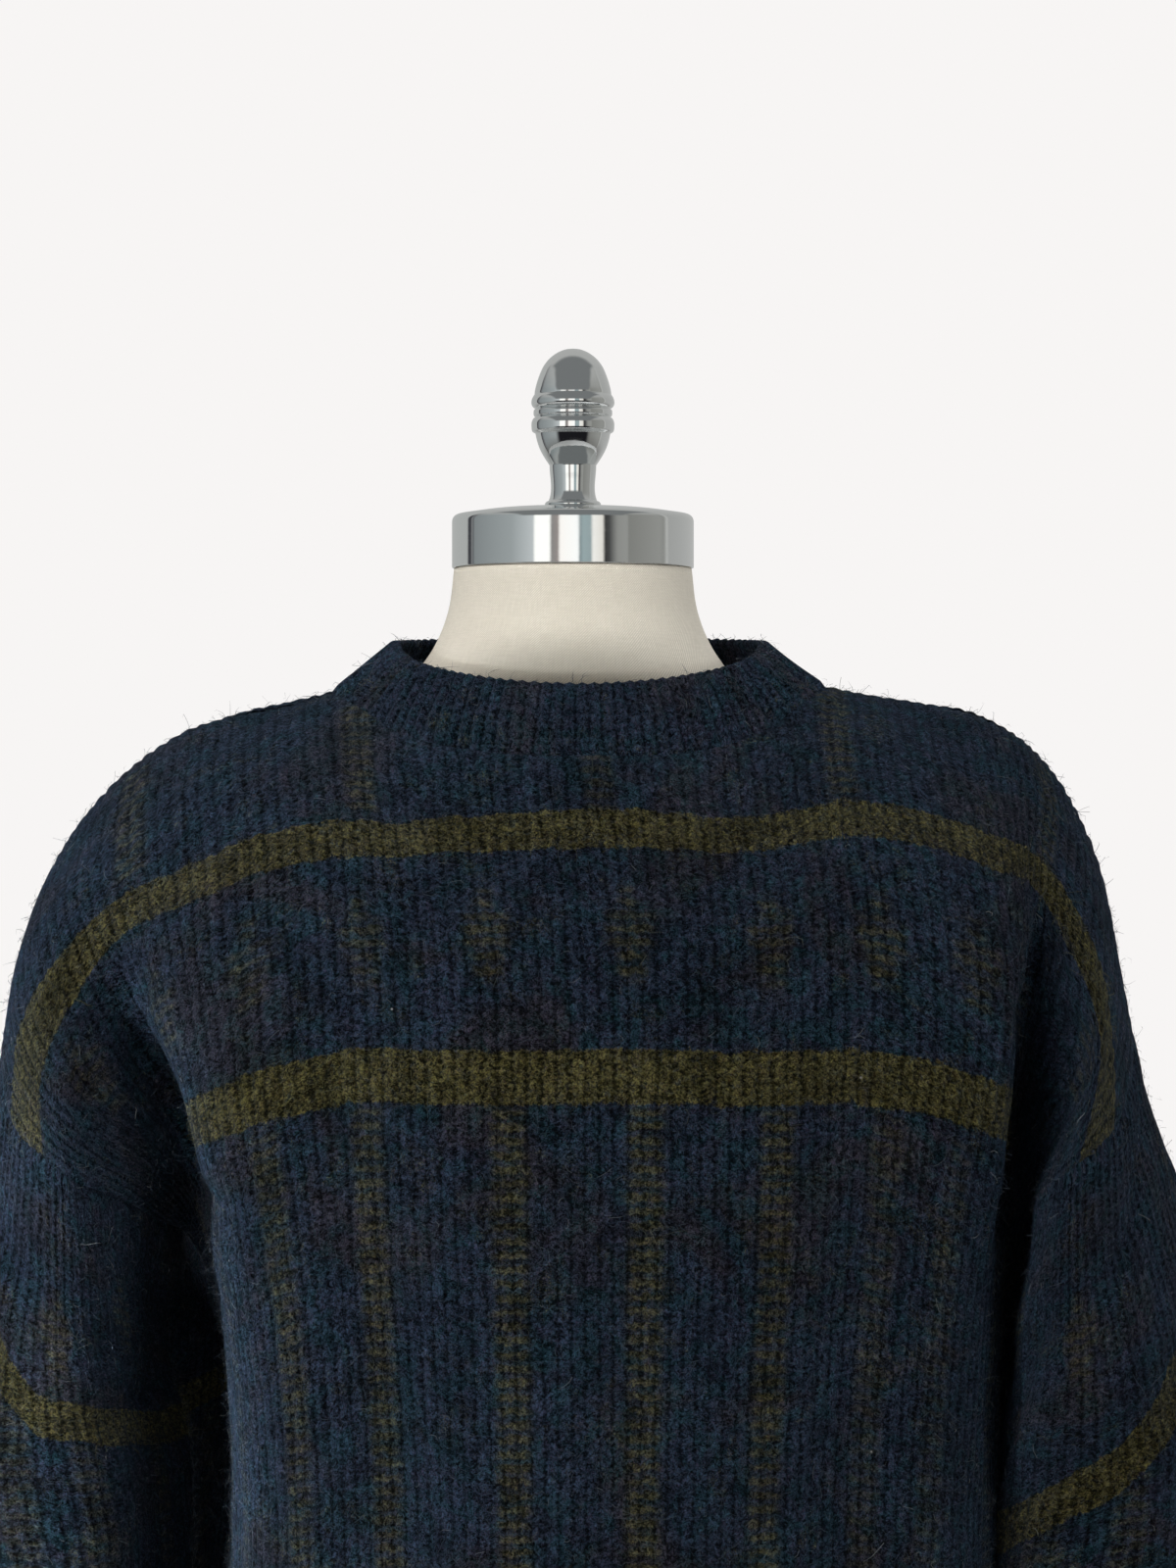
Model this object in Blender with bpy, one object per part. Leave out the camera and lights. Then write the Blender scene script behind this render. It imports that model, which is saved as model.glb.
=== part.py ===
"""A wide wool sweater with a crew neck and dropped shoulders, on a dress form with a pole stand.

Metres, +Z up. The front faces -Y and the sweater's own right sleeve lies at -X. The origin is the
middle of the base plate's underside. Heights in the tables are measured from the neck point, where
the shoulder seam meets the collar, and downwards is negative.
"""

from math import ceil, pi

import bpy
import numpy as np

# The stand and the whole figure
NECK_POINT_HEIGHT = 1.360
BASE_RADIUS = 0.165
BASE_RIM = 0.007
BASE_CROWN = 0.013
POLE_RADIUS = 0.0125
POLE_FOOT_RADIUS = 0.032
POLE_HEAD_RADIUS = 0.045
POLE_FLANGE = 0.006
TORSO_BOTTOM = -0.680
TORSO_TOP = 0.0567
CAP_RADIUS = 0.0560
CAP_BOTTOM = 0.0570
CAP_EDGE = 0.0800
CAP_TOP = 0.0855

# The cloth
WALL = 0.0036
SEAM_GAP = 0.0003
COLLAR_GAP = 0.0004
SLEEVE_GAP = 0.0003
PANEL_HALF_WIDTH = 0.320
PANEL_LENGTH = 0.600
ARMHOLE_DEPTH = 0.280
NECK_HALF_WIDTH = 0.114
FRONT_NECK_DROP = 0.075
BACK_NECK_DROP = 0.020
NECKLINE_POWER = 1.9
SLEEVE_LENGTH = 0.470
BACK_SHARE = 0.92
NECK_SHIFT = 0.003
BODY_SHIFT = 0.015

# The ribbed bands
COLLAR_RIB_PITCH = 0.0063
BAND_RIB_PITCH = 0.0160
RIB_HEIGHT = 0.0013
HEM_DEPTH = 0.062
HEM_DRAW_IN = 0.94
CUFF_DEPTH = 0.070
CUFF_DRAW_IN = 0.86
COLLAR_TOP_HALF_WIDTH = 0.0865
COLLAR_TOP_FRONT = 0.078
COLLAR_TOP_BACK = 0.068
COLLAR_TOP_HEIGHT = 0.0250
COLLAR_TILT = 0.31
COLLAR_OUTWARDS_RISE = 0.35
COLLAR_BULGE = 0.002
HEM_BULGE = 0.001
CUFF_BULGE = -0.003
CUFF_LEAN = 0.002
# Share of the way down or up a band, and the share of the ribs' height there
BAND_LEVELS = ((0.0, 0.0), (0.14, 1.0), (1.0, 1.0))
COLLAR_LEVELS = ((0.0, 0.0), (0.2, 1.0), (1.0, 1.0))

# Guide lines run down the cloth at a fixed distance across from the centre. Each row gives the
# cloth length down from the shoulder line and the place of the outer surface.
#     down    x      y       z
FRONT_CENTRE = (
    (0.000, 0.000, 0.000, 0.030),
    (0.040, 0.000, -0.052, 0.004),
    (0.075, 0.000, -0.089, -0.030),
    (0.110, 0.000, -0.104, -0.062),
    (0.150, 0.000, -0.115, -0.100),
    (0.200, 0.000, -0.124, -0.149),
    (0.280, 0.000, -0.130, -0.229),
    (0.400, 0.000, -0.131, -0.349),
    (0.600, 0.000, -0.127, -0.549),
)
BACK_CENTRE = (
    (0.000, 0.000, 0.000, 0.030),
    (0.020, 0.000, 0.074, 0.006),
    (0.060, 0.000, 0.097, -0.024),
    (0.100, 0.000, 0.108, -0.062),
    (0.150, 0.000, 0.115, -0.111),
    (0.200, 0.000, 0.118, -0.161),
    (0.280, 0.000, 0.119, -0.241),
    (0.400, 0.000, 0.118, -0.361),
    (0.600, 0.000, 0.115, -0.558),
)
FRONT_NECK_MIDDLE = (
    (0.000, 0.081, 0.000, 0.014),
    (0.052, 0.081, -0.060, -0.020),
    (0.100, 0.080, -0.093, -0.060),
    (0.150, 0.080, -0.109, -0.101),
    (0.200, 0.079, -0.119, -0.150),
    (0.280, 0.077, -0.126, -0.230),
    (0.400, 0.072, -0.128, -0.349),
    (0.600, 0.072, -0.123, -0.549),
)
BACK_NECK_MIDDLE = (
    (0.000, 0.081, 0.000, 0.014),
    (0.014, 0.081, 0.043, 0.005),
    (0.060, 0.080, 0.082, -0.028),
    (0.100, 0.080, 0.099, -0.060),
    (0.150, 0.080, 0.110, -0.108),
    (0.200, 0.079, 0.115, -0.157),
    (0.280, 0.077, 0.117, -0.237),
    (0.400, 0.073, 0.116, -0.357),
    (0.600, 0.073, 0.112, -0.557),
)
FRONT_NECK_SIDE = (
    (0.000, 0.115, 0.000, 0.000),
    (0.050, 0.114, -0.043, -0.021),
    (0.100, 0.113, -0.078, -0.057),
    (0.150, 0.113, -0.100, -0.102),
    (0.200, 0.112, -0.112, -0.150),
    (0.280, 0.108, -0.119, -0.230),
    (0.400, 0.101, -0.121, -0.349),
    (0.600, 0.101, -0.117, -0.549),
)
BACK_NECK_SIDE = (
    (0.000, 0.115, 0.000, 0.000),
    (0.050, 0.114, 0.044, -0.016),
    (0.100, 0.113, 0.081, -0.052),
    (0.150, 0.113, 0.100, -0.098),
    (0.200, 0.112, 0.107, -0.147),
    (0.280, 0.108, 0.110, -0.227),
    (0.400, 0.102, 0.109, -0.348),
    (0.600, 0.102, 0.106, -0.555),
)
CORNER = (
    (0.000, 0.190, 0.000, -0.023),
    (0.050, 0.193, -0.040, -0.050),
    (0.100, 0.191, -0.070, -0.090),
    (0.150, 0.187, -0.089, -0.134),
    (0.200, 0.180, -0.096, -0.180),
    (0.280, 0.168, -0.098, -0.250),
    (0.400, 0.160, -0.098, -0.358),
    (0.600, 0.163, -0.094, -0.552),
)
TUCK = (
    (0.000, 0.221, 0.000, -0.052),
    (0.050, 0.226, -0.038, -0.080),
    (0.100, 0.219, -0.060, -0.114),
    (0.150, 0.204, -0.058, -0.154),
    (0.200, 0.187, -0.034, -0.198),
    (0.240, 0.181, -0.040, -0.228),
    (0.280, 0.178, -0.060, -0.254),
    (0.400, 0.174, -0.067, -0.358),
    (0.600, 0.178, -0.064, -0.552),
)
CROWN = (
    (0.000, 0.243, 0.000, -0.086),
    (0.050, 0.249, -0.040, -0.116),
    (0.100, 0.242, -0.076, -0.150),
    (0.150, 0.226, -0.096, -0.180),
    (0.200, 0.197, -0.058, -0.214),
    (0.240, 0.188, -0.022, -0.236),
    (0.280, 0.184, -0.022, -0.258),
    (0.400, 0.180, -0.033, -0.358),
    (0.600, 0.186, -0.033, -0.552),
)
ARMHOLE_EDGE = (
    (0.000, 0.256, 0.000, -0.143),
    (0.050, 0.259, -0.044, -0.168),
    (0.100, 0.247, -0.086, -0.196),
    (0.150, 0.220, -0.110, -0.215),
    (0.200, 0.201, -0.088, -0.229),
    (0.240, 0.197, -0.044, -0.242),
    (0.280, 0.197, 0.000, -0.250),
)
SIDE_SEAM = (
    (0.280, 0.197, 0.000, -0.250),
    (0.300, 0.189, 0.000, -0.268),
    (0.325, 0.185, 0.000, -0.293),
    (0.360, 0.183, 0.000, -0.328),
    (0.450, 0.184, 0.000, -0.410),
    (0.600, 0.189, 0.000, -0.552),
)
# Places across for the guides: centre, neck middle, neck side, corner, tuck, crown, edge
GUIDE_ACROSS = np.array((0.000, 0.080, NECK_HALF_WIDTH, 0.190, 0.230, 0.270, PANEL_HALF_WIDTH))

# The left shoulder sits squarer on the form than the right. Each row gives the length down on
# the front or back, and how far up and in the cloth is held there, at full strength.
#     down    up     in
SQUARE_SHOULDER = (
    (0.000, 0.017, 0.003),
    (0.050, 0.019, 0.007),
    (0.110, 0.021, 0.006),
    (0.160, 0.012, 0.003),
    (0.210, 0.003, 0.000),
    (0.260, 0.000, 0.000),
    (0.600, 0.000, 0.000),
)
# How much of each the guide lines take, from the centre to the edge
SQUARE_UP_SHARE = (0.00, 0.00, 0.10, 0.60, 1.20, 1.10, 0.00)
SQUARE_IN_SHARE = (0.00, 0.00, 0.00, 0.30, 1.00, 1.20, 0.50)

# The right side is held in a little below its arm. Each row gives the length down and how far in.
#     down    in
RIGHT_HOLLOW = (
    (0.000, 0.000),
    (0.260, 0.000),
    (0.320, 0.006),
    (0.390, 0.010),
    (0.480, 0.008),
    (0.600, 0.003),
)
RIGHT_HOLLOW_SHARE = (0.00, 0.00, 0.10, 0.50, 0.90, 1.00, 1.00)

# Soft vertical folds below the chest: panel (1 front, -1 back), place across, length down where
# the fold starts and where it is full, its half width, and how far it stands out (in is negative).
#    panel across  start  full   width  height
BODY_FOLDS = (
    (1, -0.150, 0.220, 0.360, 0.026, 0.005),
    (1, -0.098, 0.260, 0.420, 0.026, -0.004),
    (1, 0.040, 0.330, 0.520, 0.032, -0.003),
    (1, 0.118, 0.240, 0.400, 0.026, -0.005),
    (1, 0.165, 0.230, 0.340, 0.024, 0.004),
    (-1, -0.110, 0.180, 0.360, 0.034, -0.006),
    (-1, -0.030, 0.260, 0.460, 0.036, 0.004),
    (-1, 0.085, 0.160, 0.380, 0.036, -0.006),
    (-1, 0.150, 0.240, 0.380, 0.026, 0.004),
)

# Rings of a hanging sleeve: cloth length down from the armhole seam, the ring's height and middle,
# its reach inwards and outwards from there, half its depth, and how far its inner face is dented.
#     down   middle_z middle_x reach_in reach_out half_depth dent
SLEEVE_RINGS = (
    (0.000, -0.205, 0.226, 0.046, 0.036, 0.104, 0.000),
    (0.060, -0.262, 0.236, 0.070, 0.046, 0.106, 0.012),
    (0.130, -0.330, 0.240, 0.076, 0.054, 0.102, 0.014),
    (0.220, -0.420, 0.240, 0.073, 0.056, 0.092, 0.012),
    (0.310, -0.510, 0.239, 0.066, 0.052, 0.079, 0.010),
    (0.400, -0.600, 0.237, 0.054, 0.043, 0.064, 0.006),
    (0.470, -0.668, 0.235, 0.044, 0.036, 0.052, 0.000),
)
INNER_POWER = 3.6
OUTER_POWER = 1.55
LOOP_FADE = 0.170
FALL_OUT = 0.20
FALL_APART = 0.10
RISE_FADE = 0.420
# A row for each sleeve: its way in x, how far the hanging part stands further out, how much its
# inner reach is shortened to clear the body, how much it leans in towards the back, how steeply its
# back corner falls in under the arm, and how far its courses drop on the inner side and rise on the
# outer.
#            way   out    short  lean   fall   drop   rise
SLEEVES = {
    "right": (-1.0, 0.000, 0.000, 0.280, 0.450, 0.000, 0.021),
    "left": (1.0, 0.012, 0.010, 0.040, 0.150, 0.012, 0.030),
}
# Folds of a sleeve: name, fraction of its girth where the fold lies, length down of its middle,
# half its width round the sleeve and along it, slant along per way round, and height.
#      name   fraction down   round  along  slant  height
SLEEVE_FOLDS = (
    ("right", 0.30, 0.235, 0.10, 0.016, 0.10, -0.006),
    ("right", 0.62, 0.275, 0.12, 0.018, -0.12, -0.007),
    ("right", 0.10, 0.330, 0.10, 0.018, 0.10, -0.005),
    ("left", 0.34, 0.250, 0.12, 0.017, -0.10, -0.006),
    ("left", 0.66, 0.215, 0.10, 0.018, 0.12, -0.006),
    ("left", 0.12, 0.310, 0.10, 0.020, -0.10, -0.005),
)

# Level sections of the torso: height, half width, reach to the front and back, and the power of
# the rounded outline, 2 for an ellipse and more for a squarer one.
#     z      half_x  front   back  power
TORSO_SECTIONS = (
    (-0.680, 0.140, 0.090, 0.088, 2.3),
    (-0.620, 0.150, 0.096, 0.092, 2.3),
    (-0.540, 0.152, 0.098, 0.092, 2.3),
    (-0.400, 0.122, 0.092, 0.080, 2.2),
    (-0.300, 0.132, 0.104, 0.086, 2.2),
    (-0.200, 0.148, 0.112, 0.096, 2.2),
    (-0.130, 0.158, 0.104, 0.099, 2.2),
    (-0.085, 0.170, 0.088, 0.093, 2.0),
    (-0.055, 0.179, 0.070, 0.078, 1.8),
    (-0.038, 0.180, 0.058, 0.064, 1.8),
    (-0.026, 0.170, 0.050, 0.055, 1.8),
    (-0.016, 0.149, 0.037, 0.046, 1.8),
    (-0.006, 0.101, 0.033, 0.047, 1.8),
    (0.004, 0.078, 0.047, 0.052, 1.9),
    (0.014, 0.0685, 0.054, 0.055, 2.0),
    (0.024, 0.0625, 0.057, 0.057, 2.0),
    (0.036, 0.0580, 0.056, 0.056, 2.0),
    (TORSO_TOP, 0.0550, 0.055, 0.055, 2.0),
)
TORSO_HEIGHTS = (-0.638, *np.linspace(-0.600, -0.100, 8), *np.linspace(-0.078, 0.036, 12), TORSO_TOP)
# Rings of the rounded underside, as shares of a quarter turn, and how much the lowest one shrinks
TORSO_ROUNDING = (0.0, 0.5, 0.8)
TORSO_SHRINK = 0.16

# Turned profile of the finial: radius and height.
FINIAL_PROFILE = (
    (0.0116, 0.0858),
    (0.0116, 0.0872),
    (0.0107, 0.0882),
    (0.0107, 0.1040),
    (0.0127, 0.1076),
    (0.0158, 0.1136),
    (0.0178, 0.1196),
    (0.0192, 0.1230),
    (0.0186, 0.1252),
    (0.0172, 0.1266),
    (0.0180, 0.1286),
    (0.0172, 0.1304),
    (0.0192, 0.1332),
    (0.0184, 0.1362),
    (0.0166, 0.1415),
    (0.0146, 0.1472),
    (0.0112, 0.1530),
    (0.0060, 0.1576),
)
FINIAL_TOP = 0.1587

# How finely each piece is divided
NECK_COLUMNS = 4
TORSO_SEGMENTS = 32
TURNED_SEGMENTS = 20
FINIAL_SEGMENTS = 22
BASE_SEGMENTS = 40

# Panel columns across, outwards from the centre, and rows down from the shoulder line
SHOULDER_COLUMNS = (0.140, 0.166, 0.190, 0.210, 0.230, 0.250, 0.270, 0.294, PANEL_HALF_WIDTH)
ARMHOLE_ROWS = 12
BODY_ROWS = 7
SLEEVE_ROWS = (0.0, 0.022, 0.048, 0.078, 0.112, 0.150, 0.192, 0.236, 0.280, 0.324, 0.366, 0.404, 0.438,
               SLEEVE_LENGTH)


def through(knots, values, where):
    """A smooth curve through the values at the knots: cubic pieces that share slopes at each knot."""
    knots, values = np.asarray(knots, float), np.asarray(values, float)
    slopes = np.gradient(values, knots, axis=0)
    where = np.clip(np.asarray(where, float), knots[0], knots[-1])
    piece = np.clip(np.searchsorted(knots, where, side="right") - 1, 0, len(knots) - 2)
    by_row = (-1,) + (1,) * (values.ndim - 1)
    width = (knots[piece + 1] - knots[piece]).reshape(by_row)
    part = ((where - knots[piece]).reshape(by_row)) / width
    rest = 1.0 - part
    return (
        (1 + 2 * part) * rest**2 * values[piece]
        + part**2 * (3 - 2 * part) * values[piece + 1]
        + part * rest**2 * width * slopes[piece]
        - part**2 * rest * width * slopes[piece + 1]
    )


def across_guides(knots, points, where):
    """The same cubic, for each row of points (row, guide, xyz) at its own place across."""
    slopes = np.gradient(points, knots, axis=1)
    where = np.clip(where, knots[0], knots[-1])
    piece = np.clip(np.searchsorted(knots, where, side="right") - 1, 0, len(knots) - 2)
    row = np.arange(len(where))
    width = (knots[piece + 1] - knots[piece])[:, None]
    part = (where - knots[piece])[:, None] / width
    rest = 1.0 - part
    return (
        (1 + 2 * part) * rest**2 * points[row, piece]
        + part**2 * (3 - 2 * part) * points[row, piece + 1]
        + part * rest**2 * width * slopes[row, piece]
        - part**2 * rest * width * slopes[row, piece + 1]
    )


def eased(value, start, end):
    """0 before start, 1 after end, and a smooth step between."""
    share = np.clip((value - start) / (end - start), 0.0, 1.0)
    return share * share * (3 - 2 * share)


def guide(rows, down):
    table = np.array(rows)
    return through(table[:, 0], table[:, 1:], down)


def over_shoulder(front_rows, back_rows):
    """One table down the back, as negative lengths, over the shoulder line and down the front."""
    back = np.array(back_rows)[:0:-1] * np.array((-1.0, 1.0, 1.0, 1.0))
    return np.concatenate([back, np.array(front_rows)])


def to_back(rows):
    """The rows of a front guide turned round for the back, which is a little flatter."""
    return np.array(rows) * np.array((1.0, 1.0, -BACK_SHARE, 1.0))


def edge_guide(down):
    """The panel's side edge: the armhole down to the underarm, then the side seam, which lies at y = 0."""
    round_armhole = over_shoulder(ARMHOLE_EDGE, to_back(ARMHOLE_EDGE))
    armhole = guide(round_armhole, np.clip(down, -ARMHOLE_DEPTH, ARMHOLE_DEPTH))
    seam = guide(SIDE_SEAM, np.maximum(np.abs(down), ARMHOLE_DEPTH))
    return np.where((np.abs(down) <= ARMHOLE_DEPTH)[:, None], armhole, seam)


def fold_height(across, down):
    """How far the soft vertical folds stand out: a bell across each, growing down its length."""
    height = np.zeros(across.shape)
    for panel, middle, start, full, width, tall in BODY_FOLDS:
        length = np.maximum(panel * down, 0.0)
        height += tall * np.exp(-(((across - middle) / width) ** 2)) * eased(length, start, full)
    return height


def body_surface(across, down):
    """The outer surface at a place across and a length down from the shoulder line, as points.

    Lengths on the back are negative, so that the cloth runs smoothly over the shoulder line. Seven
    guide lines a side give the places across at each length, and a cubic joins them.
    """
    shape = across.shape
    across, down = across.ravel(), down.ravel()
    fronts = (FRONT_CENTRE, FRONT_NECK_MIDDLE, FRONT_NECK_SIDE)
    backs = (BACK_CENTRE, BACK_NECK_MIDDLE, BACK_NECK_SIDE)
    tables = [over_shoulder(front, back) for front, back in zip(fronts, backs)]
    tables += [over_shoulder(rows, to_back(rows)) for rows in (CORNER, TUCK, CROWN)]
    half = np.stack([guide(rows, down) for rows in tables] + [edge_guide(down)], axis=1)
    square = guide(SQUARE_SHOULDER, np.abs(down))
    left = half.copy()
    left[:, :, 0] -= square[:, 1:2] * np.array(SQUARE_IN_SHARE)
    left[:, :, 2] += square[:, 0:1] * np.array(SQUARE_UP_SHARE)
    half[:, :, 0] -= guide(RIGHT_HOLLOW, np.abs(down)) * np.array(RIGHT_HOLLOW_SHARE)
    right = half[:, :0:-1] * np.array((-1.0, 1.0, 1.0))
    points = np.concatenate([right, left], axis=1)
    knots = np.concatenate([-GUIDE_ACROSS[:0:-1], GUIDE_ACROSS])
    length = np.abs(down)
    inner_shift = NECK_SHIFT + (BODY_SHIFT - NECK_SHIFT) * eased(length, 0.020, 0.200)
    outer_shift = BODY_SHIFT * eased(length, 0.060, 0.240)
    edge_shift = BODY_SHIFT * eased(length, 0.150, ARMHOLE_DEPTH)
    shifts = [edge_shift] + [outer_shift] * 2 + [inner_shift] * 7 + [outer_shift] * 2 + [edge_shift]
    points[:, :, 0] += np.stack(shifts, axis=1)
    surface = across_guides(knots, points, across)
    surface[:, 1] -= np.sign(down) * fold_height(across, down)
    return surface.reshape(*shape, 3)


def panel_surface(across, down, front):
    """The outer surface of the front or the back panel, both with lengths down counted as positive."""
    return body_surface(across, down if front else -down)


def neckline(across, drop):
    """Cloth length from the shoulder line down to the cut neckline, at a place across."""
    share = np.clip(np.abs(across) / NECK_HALF_WIDTH, 0.0, 1.0)
    return drop * (1.0 - share**NECKLINE_POWER) ** (1.0 / NECKLINE_POWER)


def panel_columns():
    inner = np.linspace(0.0, NECK_HALF_WIDTH, NECK_COLUMNS + 1)
    half = np.concatenate([inner, SHOULDER_COLUMNS])
    return np.concatenate([-half[:0:-1], half])


def panel_rows():
    armhole = np.linspace(0.0, ARMHOLE_DEPTH, ARMHOLE_ROWS + 1)
    body = np.linspace(ARMHOLE_DEPTH, PANEL_LENGTH, BODY_ROWS + 1)
    return np.concatenate([armhole, body[1:]])


def panel_grid(front):
    """(across, down) of each point of a panel, row by row. Rows follow the neckline at the top."""
    columns, rows = np.meshgrid(panel_columns(), panel_rows())
    top = neckline(columns, FRONT_NECK_DROP if front else BACK_NECK_DROP)
    return columns, top + rows * (1.0 - top / PANEL_LENGTH)


def pulled_in(columns, down):
    """The same grid with every cut edge half a seam gap inside its seam line."""
    half_gap = SEAM_GAP / 2
    down = down.copy()
    down[0] += half_gap
    down[-1] -= half_gap
    limit = PANEL_HALF_WIDTH - half_gap
    return np.clip(columns, -limit, limit), down


def normals_of(surface, first, second, step=0.0005):
    """Unit normals of surface(first, second), from central differences of its two parameters."""
    along = surface(first + step, second) - surface(first - step, second)
    down = surface(first, second + step) - surface(first, second - step)
    normal = np.cross(along, down)
    return normal / np.linalg.norm(normal, axis=-1, keepdims=True)


def unit(vectors):
    return vectors / np.linalg.norm(vectors, axis=-1, keepdims=True)


def panel_normals(front):
    """Normals that point out of the garment, taken a little inside the panel where it has an edge."""
    columns, down = panel_grid(front)
    inside = 0.002
    columns = np.clip(columns, -PANEL_HALF_WIDTH + inside, PANEL_HALF_WIDTH - inside)
    down = np.clip(down, inside, PANEL_LENGTH - inside)
    normal = normals_of(lambda a, d: panel_surface(a, d, front), columns, down)
    return -normal if front else normal


def sleeve_ring(down, fraction, name):
    """A ring of the hanging sleeve, by cloth length down and fraction of its girth.

    Each half is a superellipse: blunt towards the body, and drawn to a crease at the front and back
    on the outer side. A dent in the inner face makes room for the body, and the ring's plane drops
    towards the body and rises outwards.
    """
    way, out, short, lean, _, drop, rise = SLEEVES[name]
    table = np.array(SLEEVE_RINGS)
    middle_z, middle_x, reach_in, reach_out, half_depth, dent = through(table[:, 0], table[:, 1:], down).T
    angle = np.linspace(0.0, 2 * pi, 721)
    cosine, sine = np.cos(angle), np.sin(angle)
    power = np.where(cosine > 0, OUTER_POWER, INNER_POWER)
    along = np.sign(cosine) * np.abs(cosine) ** (2 / power)
    deep = np.sign(sine) * np.abs(sine) ** (2 / power)
    reach = np.where(cosine > 0, reach_out[:, None], reach_in[:, None] - short)
    hollow = dent[:, None] * np.exp(-(((angle - pi) / 0.75) ** 2))
    y = -half_depth[:, None] * deep
    x = middle_x[:, None] + reach * along + hollow - lean * y
    fade = 1.0 - eased(down, 0.150, RISE_FADE)
    z = middle_z[:, None] + fade[:, None] * (rise * np.maximum(along, 0.0) ** 1.5 + drop * np.minimum(along, 0.0))
    length = np.cumsum(np.hypot(np.diff(x, axis=1), np.diff(y, axis=1)), axis=1)
    girth = np.concatenate([np.zeros((len(down), 1)), length], axis=1)
    row = range(len(down))
    wanted = [fraction[i] * girth[i, -1] for i in row]
    ring = [np.array([np.interp(wanted[i], girth[i], part[i]) for i in row]) for part in (x, y, z)]
    ring[0] = way * (ring[0] + out)
    return np.stack(ring, axis=-1)


def sleeve_fold_height(fraction, down, name):
    """How far the sleeve's slanting folds stand out: a bell across each and one along it."""
    height = np.zeros(fraction.shape)
    for sleeve, middle, length, wide, tall, slant, rise in SLEEVE_FOLDS:
        if sleeve == name:
            offset = fraction - middle
            along = down - length - slant * offset
            height += rise * np.exp(-((offset / wide) ** 2) - (along / tall) ** 2)
    return height


def armhole_loop(fraction, side):
    """The armhole seam as a loop: 0 at the shoulder tip, a half at the underarm, by the front first."""
    front = fraction <= 0.5
    down = 2 * ARMHOLE_DEPTH * np.where(front, fraction, 1.0 - fraction)
    across = np.full(down.shape, side * PANEL_HALF_WIDTH)
    on_front = panel_surface(across, down, True)
    on_back = panel_surface(across, down, False)
    return np.where(front[..., None], on_front, on_back)


def sleeve_surface(fraction, down, name):
    """The outer surface of a sleeve: the armhole loop let down, fading into the hanging rings."""
    side, fall_in = SLEEVES[name][0], SLEEVES[name][4]
    loop = armhole_loop(fraction, side)
    ring = sleeve_ring(down[:, 0], fraction, name)
    turn = 2 * pi * fraction
    back_corner = np.maximum(-np.sin(turn), 0.0) * np.maximum(-np.cos(turn), 0.0)
    outwards = side * (FALL_OUT * np.cos(turn) ** 2 - 2 * fall_in * back_corner)
    fall = np.stack([outwards, -FALL_APART * np.sin(turn), np.full(turn.shape, -1.0)], axis=-1)
    let_down = loop + unit(fall) * down[..., None]
    share = eased(down, 0.0, LOOP_FADE)[..., None]
    surface = let_down * (1.0 - share) + ring * share
    facing = np.stack([side * np.cos(turn), -np.sin(turn), np.zeros(turn.shape)], axis=-1)
    return surface + facing * sleeve_fold_height(fraction, down, name)[..., None]


def sleeve_fractions():
    """Fractions around the sleeve that meet the panels' armhole rows, from the tip by the front and back."""
    half = np.linspace(0.0, 0.5, ARMHOLE_ROWS + 1)
    return np.concatenate([half, 1.0 - half[-2:0:-1]])


def sleeve_grid():
    return np.meshgrid(sleeve_fractions(), np.array(SLEEVE_ROWS))


def sleeve_normals(name):
    side = SLEEVES[name][0]
    fraction, down = sleeve_grid()
    down = np.clip(down, 0.002, SLEEVE_LENGTH - 0.002)

    def surface(turn, length):
        return sleeve_surface(turn % 1.0, length, name)

    return normals_of(surface, fraction, down) * side


def shared_seam_normals():
    """Normals of panels and sleeves, made equal along every seam that joins two of them."""
    front, back = panel_normals(True), panel_normals(False)
    columns = panel_columns()
    shoulder = np.abs(columns) >= NECK_HALF_WIDTH - 1e-9
    ridge = unit(front[0, shoulder] + back[0, shoulder])
    front[0, shoulder] = back[0, shoulder] = ridge
    sleeves = {}
    for name in SLEEVES:
        side = SLEEVES[name][0]
        edge = -1 if side > 0 else 0
        sleeve = sleeve_normals(name)
        seam = unit(front[ARMHOLE_ROWS:, edge] + back[ARMHOLE_ROWS:, edge])
        front[ARMHOLE_ROWS:, edge] = back[ARMHOLE_ROWS:, edge] = seam
        on_front = unit(front[: ARMHOLE_ROWS + 1, edge] + sleeve[0, : ARMHOLE_ROWS + 1])
        back_columns = [0, *range(len(sleeve[0]) - 1, ARMHOLE_ROWS - 1, -1)]
        on_back = unit(back[: ARMHOLE_ROWS + 1, edge] + sleeve[0, back_columns])
        tip = unit(front[0, edge] + sleeve[0, 0])
        underarm = np.array((0.0, 0.0, -1.0))
        on_front[0] = on_back[0] = tip
        on_front[-1] = on_back[-1] = underarm
        front[: ARMHOLE_ROWS + 1, edge] = on_front
        back[: ARMHOLE_ROWS + 1, edge] = on_back
        sleeve[0, back_columns] = on_back
        sleeve[0, : ARMHOLE_ROWS + 1] = on_front
        sleeves[name] = sleeve
    return front, back, sleeves


def grid_faces(rows, columns, closed, start=0):
    """Quads between neighbouring rows and columns of a grid of point numbers."""
    number = start + np.arange(rows * columns).reshape(rows, columns)
    if closed:
        number = np.concatenate([number, number[:, :1]], axis=1)
    corners = (number[:-1, :-1], number[:-1, 1:], number[1:, 1:], number[1:, :-1])
    return np.stack([corner.ravel() for corner in corners], axis=1)


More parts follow.
